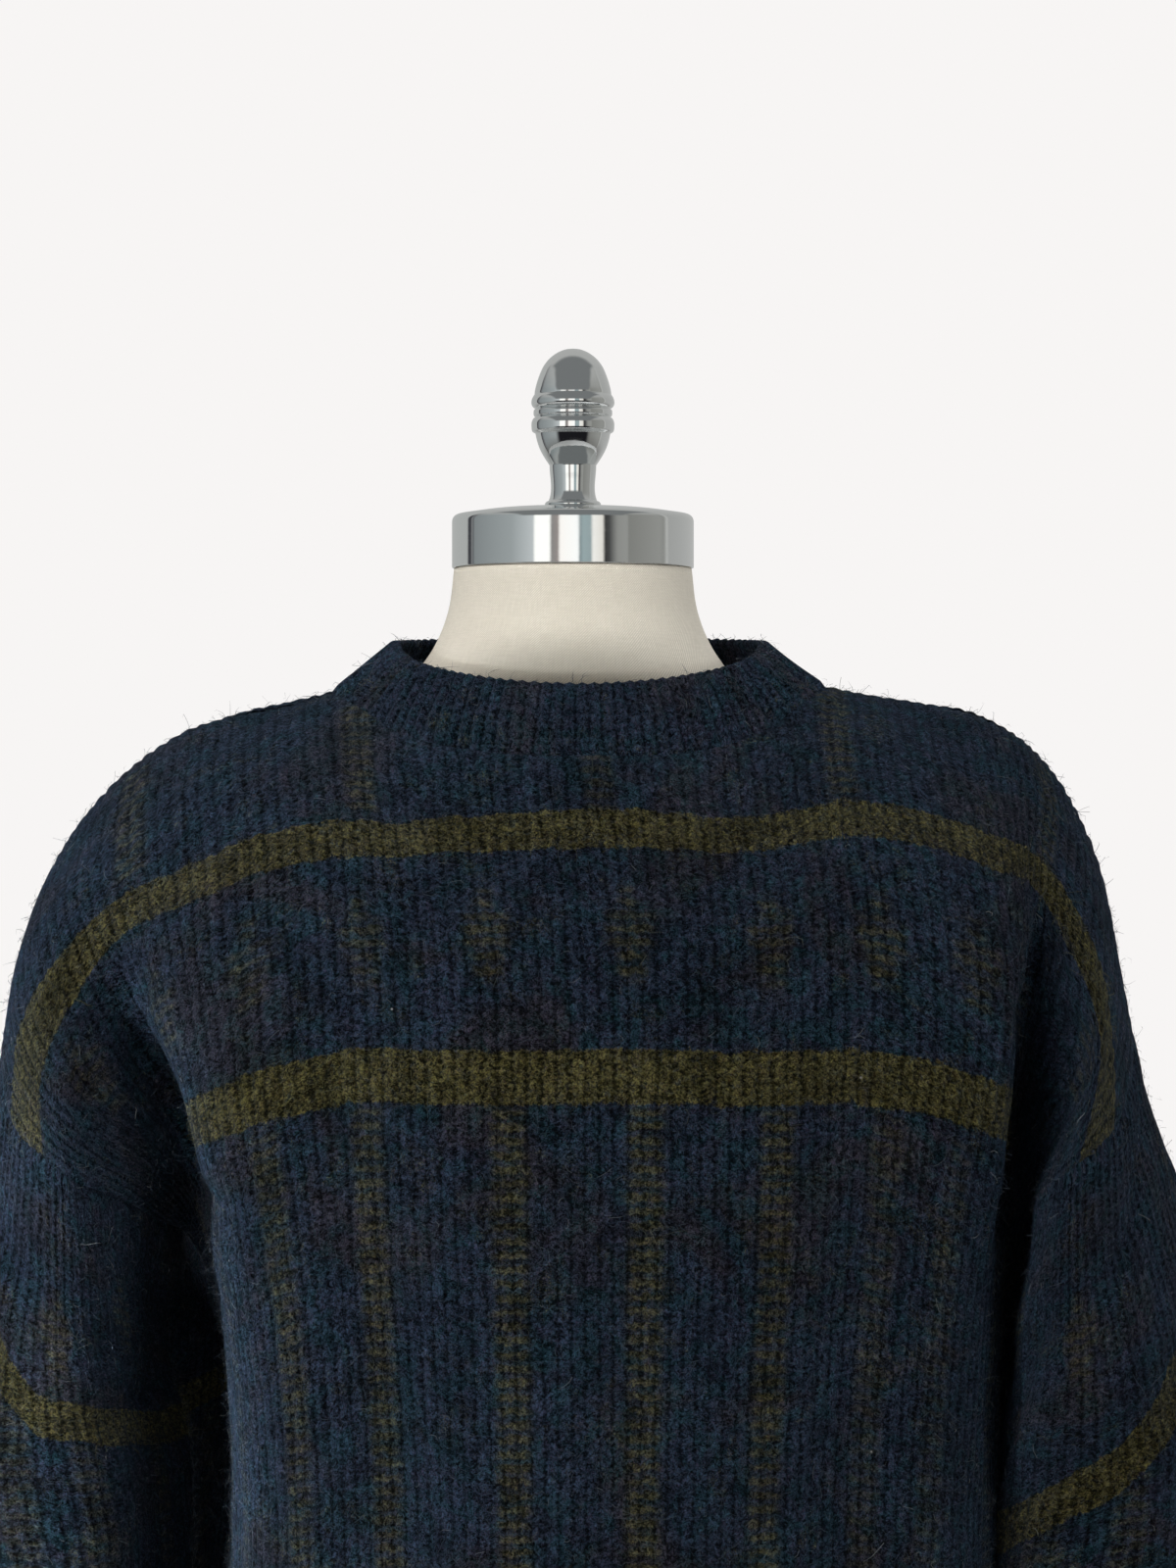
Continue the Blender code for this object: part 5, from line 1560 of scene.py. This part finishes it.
def wool_material(name, pitch, ribbed):
    """Fuzzy wool yarn of mixed fibres, with the charted olive pattern.

    Each leg of a stitch has its own lightness, and painted shade darkens it towards its ends. The hue
    comes from patches of navy, slate, violet and teal, or of the olives where the chart says. The
    grooves between wales and the gaps between stitches are painted nearly black as painted shade, and
    curling lines of lighter fibres cross it all, dimmed in the grooves by the same painted shade.
    """
    material, tree, shader = new_material(name)
    place = put(tree, "ShaderNodeUVMap", uv_map="cloth").outputs[0]
    chart = put(tree, "ShaderNodeAttribute", attribute_name="chart").outputs["Vector"]
    told = put(tree, "ShaderNodeSeparateXYZ", {0: chart})
    solid, dashed, rust = told.outputs
    flat = put(tree, "ShaderNodeSeparateXYZ", {0: place})
    # Stitches: two slanting legs to each wale, one stitch to each course
    shaken = noise(tree, place, 190.0, 3.0, 0.6, 0.6)
    shake = calc(tree, "MULTIPLY", calc(tree, "SUBTRACT", shaken, 0.5), 2.2)
    swayed = noise(tree, moved(tree, place, (6.1, 3.3, 0.0)), 130.0, 3.0, 0.6, 0.5)
    sway = calc(tree, "MULTIPLY", calc(tree, "SUBTRACT", swayed, 0.5), 0.75)
    wales = calc(tree, "ADD", calc(tree, "DIVIDE", flat.outputs[0], pitch), sway)
    if ribbed:
        wales = calc(tree, "ADD", wales, 0.5)
    wale = calc(tree, "FRACT", wales)
    off_middle = calc(tree, "ABSOLUTE", calc(tree, "SUBTRACT", calc(tree, "MULTIPLY", wale, 2.0), 1.0))
    course = calc(tree, "DIVIDE", flat.outputs[1], COURSE)
    slanted = calc(tree, "ADD", calc(tree, "ADD", course, calc(tree, "MULTIPLY", off_middle, -0.8)), shake)
    leg = calc(tree, "SINE", calc(tree, "MULTIPLY", slanted, 2 * pi))
    half = calc(tree, "FLOOR", calc(tree, "MULTIPLY", wales, 2.0))
    row = calc(tree, "FLOOR", calc(tree, "ADD", slanted, 0.25))
    own = put(tree, "ShaderNodeCombineXYZ", {0: half, 1: row, 2: 0.0}).outputs[0]
    chance = put(tree, "ShaderNodeTexWhiteNoise", {"Vector": own}, noise_dimensions="2D").outputs["Value"]
    # Colours of the yarn
    patch = noise(tree, moved(tree, place, (3.1, 1.7, 0.0)), 62.0, 4.0, 0.66, 0.7)
    patch_2 = noise(tree, moved(tree, place, (7.9, 4.3, 0.0)), 44.0, 4.0, 0.66, 0.9)
    patch_3 = noise(tree, moved(tree, place, (1.9, 9.1, 0.0)), 78.0, 4.0, 0.68, 0.7)
    matting = noise(tree, moved(tree, place, (4.4, 8.2, 0.0)), 34.0, 5.0, 0.68, 0.9)
    wide_patch = noise(tree, moved(tree, place, (0.7, 6.4, 0.0)), 17.0, 4.0, 0.6, 0.8)
    speck = noise(tree, moved(tree, place, (2.2, 0.4, 0.0)), 480.0, 4.0, 0.75, 1.2)
    broken = noise(tree, moved(tree, place, (5.2, 2.9, 0.0)), 330.0, 4.0, 0.72, 1.0)
    yarn = blend(tree, fit(tree, patch, 0.42, 0.60), NAVY, SLATE)
    yarn = blend(tree, fit(tree, patch_2, 0.51, 0.62), yarn, VIOLET)
    yarn = blend(tree, fit(tree, patch_3, 0.51, 0.61), yarn, TEAL)
    yarn = blend(tree, fit(tree, wide_patch, 0.52, 0.63, 0.0, 0.5), yarn, DUSK)
    yarn = blend(tree, fit(tree, broken, 0.56, 0.66, 0.0, 0.8), yarn, BROWN)
    olive = blend(tree, fit(tree, patch_3, 0.40, 0.58), OLIVE, KHAKI)
    olive = blend(tree, fit(tree, broken, 0.55, 0.66, 0.0, 0.8), olive, RUST)
    rusty = calc(tree, "MULTIPLY", rust, fit(tree, patch_2, 0.35, 0.60, 0.25, 0.85))
    olive = blend(tree, rusty, olive, UMBER)
    shaken_course = calc(tree, "ADD", course, shake)
    every_other = calc(tree, "SINE", calc(tree, "MULTIPLY", shaken_course, pi))
    dash = calc(tree, "MULTIPLY", dashed, fit(tree, every_other, -0.8, 0.7, 0.10, 0.70))
    ragged = calc(tree, "ADD", calc(tree, "MULTIPLY", speck, 0.5), calc(tree, "MULTIPLY", broken, 0.9))
    ragged = calc(tree, "MULTIPLY", calc(tree, "SUBTRACT", ragged, 0.7), 1.5)
    solid = fit(tree, calc(tree, "ADD", solid, ragged), 0.38, 0.62)
    shown = calc(tree, "MAXIMUM", calc(tree, "MULTIPLY", solid, 0.93), dash)
    shown = calc(tree, "MULTIPLY", shown, fit(tree, broken, 0.36, 0.48, 0.45, 1.0))
    colour = blend(tree, shown, yarn, olive)
    # Light and dark within the knit: each leg's own lightness at random, with painted shade towards
    # its ends and painted shade in the grooves between wales and courses, mixed towards near black
    lit = fit(tree, leg, -0.75, 0.65, 0.35, 1.0)
    lit = calc(tree, "MULTIPLY", lit, fit(tree, chance, 0.0, 1.0, 0.55, 1.45))
    lit = calc(tree, "MULTIPLY", lit, fit(tree, speck, 0.41, 0.62, 0.0, 2.1))
    matted = fit(tree, matting, 0.36, 0.62, 0.85 if ribbed else 0.50, 1.45 if ribbed else 1.12)
    lit = calc(tree, "MULTIPLY", lit, matted)
    wide = calc(tree, "ADD", off_middle, calc(tree, "MULTIPLY", shake, 0.22))
    every_course = calc(tree, "SINE", calc(tree, "MULTIPLY", shaken_course, 2 * pi))
    wide = calc(tree, "ADD", wide, calc(tree, "MULTIPLY", every_course, 0.16))
    # The grooves between wales and the gaps between courses are painted darker as painted shade, less
    # deeply on the rib
    groove = fit(tree, wide, 0.50, 1.02)
    depth = fit(tree, patch_2, 0.40, 0.60, 0.92, 0.70 if ribbed else 0.35)
    lit = calc(tree, "MULTIPLY", lit, calc(tree, "SUBTRACT", 1.0, calc(tree, "MULTIPLY", groove, depth)))
    colour = blend(tree, lit, DARK_YARN_AND_PAINTED_SHADE, colour)
    # Single fibres
    light = blend(tree, fit(tree, wide_patch, 0.50, 0.61, 0.0, 0.8), FIBRE_BLUE, FIBRE_DUSK)
    light = blend(tree, shown, light, FIBRE_OLIVE)
    other = blend(tree, fit(tree, patch_3, 0.48, 0.56), FIBRE_VIOLET, FIBRE_TEAL)
    other = blend(tree, shown, other, FIBRE_RUST)
    third = blend(tree, fit(tree, patch, 0.45, 0.56), FIBRE_OLIVE, FIBRE_BROWN)
    third = blend(tree, fit(tree, patch_2, 0.37, 0.47, 0.0, 0.95), third, light)
    # The fibre lines are dimmed in the grooves as painted shade, and at random by stitch, speck and matting
    shade = calc(tree, "SUBTRACT", 1.0, calc(tree, "MULTIPLY", groove, 0.78))
    shade = calc(tree, "MULTIPLY", shade, fit(tree, chance, 0.0, 1.0, 0.45, 1.0))
    shade = calc(tree, "MULTIPLY", shade, fit(tree, speck, 0.38, 0.60, 0.12, 1.0))
    shade = calc(tree, "MULTIPLY", shade, matted)
    layers = (
        (300.0, (0.3, 0.9, 0.0), 0.050, 2.4, 0.90, light),
        (430.0, (4.3, 2.9, 0.0), 0.052, 2.0, 0.80, other),
        (240.0, (2.7, 5.9, 0.0), 0.032, 3.0, 0.95, light),
        (340.0, (6.7, 1.9, 0.0), 0.036, 2.6, 0.80, third),
        (150.0, (8.3, 6.9, 0.0), 0.016, 3.4, 0.85, light),
    )
    lines = 0.0
    for scale, offset, width, bend, strength, tint in layers:
        line = calc(tree, "MULTIPLY", hair_lines(tree, place, scale, offset, width, bend), shade)
        colour = blend(tree, calc(tree, "MULTIPLY", line, strength), colour, tint)
        lines = calc(tree, "MAXIMUM", line, lines)
    # Pale specks caught in the yarn
    dots = put(tree, "ShaderNodeTexVoronoi", {"Vector": place, "Scale": 62.0, "Randomness": 1.0})
    chosen = put(tree, "ShaderNodeSeparateColor", {0: dots.outputs["Color"]})
    near = fit(tree, dots.outputs["Distance"], 0.02, 0.050, 1.0, 0.0)
    rare = calc(tree, "GREATER_THAN", chosen.outputs[0], 0.92)
    colour = blend(tree, calc(tree, "MULTIPLY", near, rare), colour, SPECK)
    tree.links.new(colour, shader.inputs["Base Color"])
    tree.links.new(fit(tree, speck, 0.3, 0.7, 0.88, 1.0), shader.inputs["Roughness"])
    shader.inputs["Specular IOR Level"].default_value = 0.04
    shader.inputs["Sheen Weight"].default_value = SHEEN_WEIGHT
    shader.inputs["Sheen Roughness"].default_value = 0.26
    shader.inputs["Sheen Tint"].default_value = (0.40, 0.62, 0.95, 1.0)
    height = calc(tree, "MULTIPLY", lit, 1.1)
    height = calc(tree, "ADD", height, calc(tree, "MULTIPLY", speck, 0.9))
    height = calc(tree, "ADD", height, calc(tree, "MULTIPLY", lines, 0.55))
    bump = put(tree, "ShaderNodeBump", {"Height": height, "Strength": 0.9, "Distance": 0.0008})
    tree.links.new(bump.outputs[0], shader.inputs["Normal"])
    return material


def fuzz_material():
    """The loose fibres: the yarn's own colours, a little lighter, and olive where the cloth is olive."""
    material, tree, shader = new_material("wool_fuzz")
    chart = put(tree, "ShaderNodeAttribute", attribute_name="chart").outputs["Vector"]
    told = put(tree, "ShaderNodeSeparateXYZ", {0: chart})
    solid, dashed, tone = told.outputs
    yarn = blend(tree, fit(tree, tone, 0.0, 0.45), FUZZ_DARK, FUZZ_BLUE)
    yarn = blend(tree, fit(tree, tone, 0.45, 0.80), yarn, FUZZ_GREY)
    yarn = blend(tree, fit(tree, tone, 0.93, 1.0), yarn, FUZZ_PALE)
    olive = blend(tree, tone, OLIVE, PALE_OLIVE)
    shown = calc(tree, "MAXIMUM", solid, calc(tree, "MULTIPLY", dashed, 0.6))
    tree.links.new(blend(tree, shown, yarn, olive), shader.inputs["Base Color"])
    shader.inputs["Roughness"].default_value = 0.75
    shader.inputs["Specular IOR Level"].default_value = 0.2
    shader.inputs["Sheen Weight"].default_value = 0.15
    return material


def linen_material():
    """Natural linen in a fine diagonal twill, with thicker and thinner threads."""
    material, tree, shader = new_material("linen_twill")
    place = put(tree, "ShaderNodeUVMap", uv_map="cloth").outputs[0]
    flat = put(tree, "ShaderNodeSeparateXYZ", {0: place})
    bent = noise(tree, place, 160.0, 2.0, 0.5)
    bend = calc(tree, "MULTIPLY", calc(tree, "SUBTRACT", bent, 0.5), 0.8)
    along = calc(tree, "SUBTRACT", flat.outputs[0], flat.outputs[1])
    twill = calc(tree, "SINE", calc(tree, "ADD", calc(tree, "MULTIPLY", along, 2 * pi / TWILL_PITCH), bend))
    threads = noise(tree, moved(tree, place, scale=(1.0, 0.08, 1.0)), 1500.0, 2.0)
    wefts = noise(tree, moved(tree, place, (0.3, 0.2, 0.0), (0.08, 1.0, 1.0)), 1500.0, 2.0)
    uneven = calc(tree, "ADD", calc(tree, "MULTIPLY", threads, 0.5), calc(tree, "MULTIPLY", wefts, 0.5))
    cloud = noise(tree, place, 30.0, 3.0)
    colour = blend(tree, fit(tree, twill, -1.0, 1.0), LINEN_DARK, LINEN_LIGHT)
    colour = blend(tree, fit(tree, uneven, 0.40, 0.62, 0.0, 0.45), colour, LINEN_DARK)
    colour = blend(tree, fit(tree, cloud, 0.3, 0.7, 0.0, 0.12), colour, LINEN_SHADE)
    tree.links.new(colour, shader.inputs["Base Color"])
    shader.inputs["Roughness"].default_value = 0.92
    shader.inputs["Specular IOR Level"].default_value = 0.2
    shader.inputs["Sheen Weight"].default_value = 0.08
    height = calc(tree, "ADD", twill, calc(tree, "MULTIPLY", uneven, 2.0))
    bump = put(tree, "ShaderNodeBump", {"Height": height, "Strength": 0.35, "Distance": 0.0002})
    tree.links.new(bump.outputs[0], shader.inputs["Normal"])
    return material


def chrome_material():
    """Polished chrome with faint wiping marks."""
    material, tree, shader = new_material("polished_chrome")
    place = put(tree, "ShaderNodeTexCoord").outputs["Object"]
    wiped = noise(tree, moved(tree, place, scale=(1.0, 1.0, 6.0)), 60.0, 4.0, 0.6)
    smudge = noise(tree, place, 35.0, 3.0, 0.6)
    shader.inputs["Base Color"].default_value = (0.80, 0.82, 0.815, 1.0)
    shader.inputs["Metallic"].default_value = 1.0
    wiping_marks = fit(tree, wiped, 0.35, 0.70, 0.035, 0.075)
    smudges = fit(tree, smudge, 0.55, 0.75, 0.0, 0.04)
    tree.links.new(calc(tree, "ADD", wiping_marks, smudges), shader.inputs["Roughness"])
    bump = put(tree, "ShaderNodeBump", {"Height": wiped, "Strength": 0.04, "Distance": 0.0004})
    tree.links.new(bump.outputs[0], shader.inputs["Normal"])
    return material


# Light, floor and camera

def light_world():
    """A pale room seen by the camera, and the same room with its windows as the chrome reflects it."""
    world = bpy.data.worlds.new("room")
    world.use_nodes = True
    bpy.context.scene.world = world
    tree = world.node_tree
    tree.nodes.clear()
    ray = put(tree, "ShaderNodeTexCoord").outputs["Generated"]
    way = put(tree, "ShaderNodeSeparateXYZ", {0: ray})
    turn = calc(tree, "ARCTAN2", way.outputs[0], calc(tree, "MULTIPLY", way.outputs[1], -1.0))
    share = calc(tree, "ADD", calc(tree, "DIVIDE", turn, 2 * pi), 0.5)
    stripes = put(tree, "ShaderNodeValToRGB", {0: share})
    steps = stripes.color_ramp
    steps.interpolation = "LINEAR"
    while len(steps.elements) > 1:
        steps.elements.remove(steps.elements[0])
    for number, (degrees, red, green, blue) in enumerate(ROOM_STRIPES):
        position = degrees / 360.0 + 0.5
        stop = steps.elements[0] if number == 0 else steps.elements.new(position)
        stop.position = position
        stop.color = (red, green, blue, 1.0)
    upper = fit(tree, way.outputs[2], 0.25, 0.75)
    lower = fit(tree, way.outputs[2], -0.20, -0.70)
    aside = calc(tree, "ABSOLUTE", turn)
    sideways = calc(tree, "ABSOLUTE", way.outputs[0])
    middle = fit(tree, sideways, 0.70, 0.80, 1.0, 0.0)
    above = calc(tree, "MULTIPLY", middle, fit(tree, way.outputs[2], 0.18, 0.32))
    above = calc(tree, "MULTIPLY", above, fit(tree, way.outputs[1], 0.0, 0.3, 1.0, 0.0))
    ahead = fit(tree, aside, 0.75, 1.05, 1.0, 0.0)
    below = calc(tree, "MULTIPLY", ahead, fit(tree, way.outputs[2], -0.10, -0.20))
    room = blend(tree, upper, stripes.outputs[0], ROOM_CEILING)
    room = blend(tree, lower, room, ROOM_FLOOR)
    room = blend(tree, above, room, ROOM_FRONT)
    room = blend(tree, below, room, ROOM_DARK)
    seen = put(tree, "ShaderNodeBackground", {"Color": (*BACKDROP, 1.0), "Strength": 1.0})
    lit = put(tree, "ShaderNodeBackground", {"Color": room, "Strength": ROOM_STRENGTH})
    from_camera = put(tree, "ShaderNodeLightPath").outputs["Is Camera Ray"]
    either = {0: from_camera, 1: lit.outputs[0], 2: seen.outputs[0]}
    mixed = put(tree, "ShaderNodeMixShader", either)
    out = put(tree, "ShaderNodeOutputWorld")
    tree.links.new(mixed.outputs[0], out.inputs["Surface"])


def add_light(name, place, target, size, power, colour, spread):
    """A round lamp that lights the cloth and that neither the camera nor the chrome sees."""
    data = bpy.data.lights.new(name, "AREA")
    data.shape = "DISK"
    data.size = size
    data.energy = power
    data.color = colour
    data.spread = spread
    light = bpy.data.objects.new(name, data)
    light.visible_glossy = False
    light.visible_camera = False
    light.location = place
    way = Vector(target) - Vector(place)
    light.rotation_euler = way.to_track_quat("-Z", "Y").to_euler()
    bpy.context.scene.collection.objects.link(light)


def add_floor():
    """A pale round floor under the stand."""
    turn = np.arange(FLOOR_SEGMENTS) * 2 * pi / FLOOR_SEGMENTS
    points = FLOOR_RADIUS * np.column_stack([np.cos(turn), np.sin(turn), np.zeros(FLOOR_SEGMENTS)])
    mesh = bpy.data.meshes.new("floor")
    mesh.from_pydata(points.tolist(), [], [list(range(FLOOR_SEGMENTS))])
    material, tree, shader = new_material("pale_floor")
    soft = noise(tree, put(tree, "ShaderNodeTexCoord").outputs["Object"], 3.0, 3.0)
    tree.links.new(blend(tree, soft, (0.78, 0.77, 0.76), (0.84, 0.83, 0.82)), shader.inputs["Base Color"])
    shader.inputs["Roughness"].default_value = 0.8
    mesh.materials.append(material)
    floor = bpy.data.objects.new("floor", mesh)
    bpy.context.scene.collection.objects.link(floor)


def add_camera():
    """A level camera that frames the upper part as the photo does."""
    data = bpy.data.cameras.new("camera")
    data.lens = CAMERA_LENS
    data.sensor_width = 36
    data.clip_start = 0.05
    camera = bpy.data.objects.new("camera", data)
    camera.location = CAMERA_PLACE
    camera.rotation_euler = (pi / 2, 0.0, 0.0)
    bpy.context.scene.collection.objects.link(camera)
    bpy.context.scene.camera = camera
    bpy.context.scene.view_settings.view_transform = "Standard"


def settle(piece, nodes=()):
    """Says what a piece rides on, and hides the nodes of the model that it stands for."""
    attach(piece, "root")
    if nodes:
        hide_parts(*nodes)


def main():
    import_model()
    add_camera()
    light_world()
    for lamp in LAMPS:
        add_light(*lamp)
    add_floor()

    wool = wool_material("wool_knit", WALE, False)
    rib = wool_material("wool_rib", RIB_PITCH, True)
    fuzz, linen, chrome = fuzz_material(), linen_material(), chrome_material()

    front, front_points, front_normal, front_chart = make_panel("front_knit", True, FRONT_ROWS, wool)
    back, back_points, back_normal, back_chart = make_panel("back_knit", False, BACK_ROWS, wool)
    settle(front, ["front_panel"])
    settle(back, ["back_panel"])
    front_fuzz = [(front_points, front_normal, front_chart, FUZZ_SHARE["panel"])]
    back_fuzz = [(back_points, back_normal, back_chart, FUZZ_SHARE["panel"])]
    for name in ("right", "left"):
        sleeve, points, normal, chart = make_sleeve(name, wool)
        settle(sleeve, [f"{name}_sleeve"])
        half = points.shape[1] // 2
        front_half, back_half = np.s_[:, half:], np.s_[:, : half + 1]
        share = FUZZ_SHARE["sleeve"]
        front_fuzz.append((points[front_half], normal[front_half], chart[front_half], share))
        back_fuzz.append((points[back_half], normal[back_half], chart[back_half], share))
        cuff, cuff_points, cuff_normal, cuff_chart, girth, deep = make_cuff(name, points, rib)
        settle(cuff, [f"{name}_cuff"])
        back_fuzz.append((cuff_points, cuff_normal, cuff_chart, FUZZ_SHARE["cuff"]))
    collar, points, normal, chart, girth, deep = make_collar(rib)
    settle(collar, ["collar_rib"])
    front_fuzz.append((points, normal, chart, FUZZ_SHARE["collar"]))
    hem, points, normal, chart, girth, deep = make_hem(front_points, back_points, rib)
    settle(hem, ["hem_rib"])
    back_fuzz.append((points, normal, chart, FUZZ_SHARE["hem"]))
    settle(make_fuzz("front_fuzz", front_fuzz, FUZZ_COUNT, 71, fuzz))
    settle(make_fuzz("back_fuzz", back_fuzz, FUZZ_COUNT, 72, fuzz))

    settle(make_torso(linen), ["form_torso"])
    for piece, node in make_stand(chrome):
        settle(piece, [node])


main()
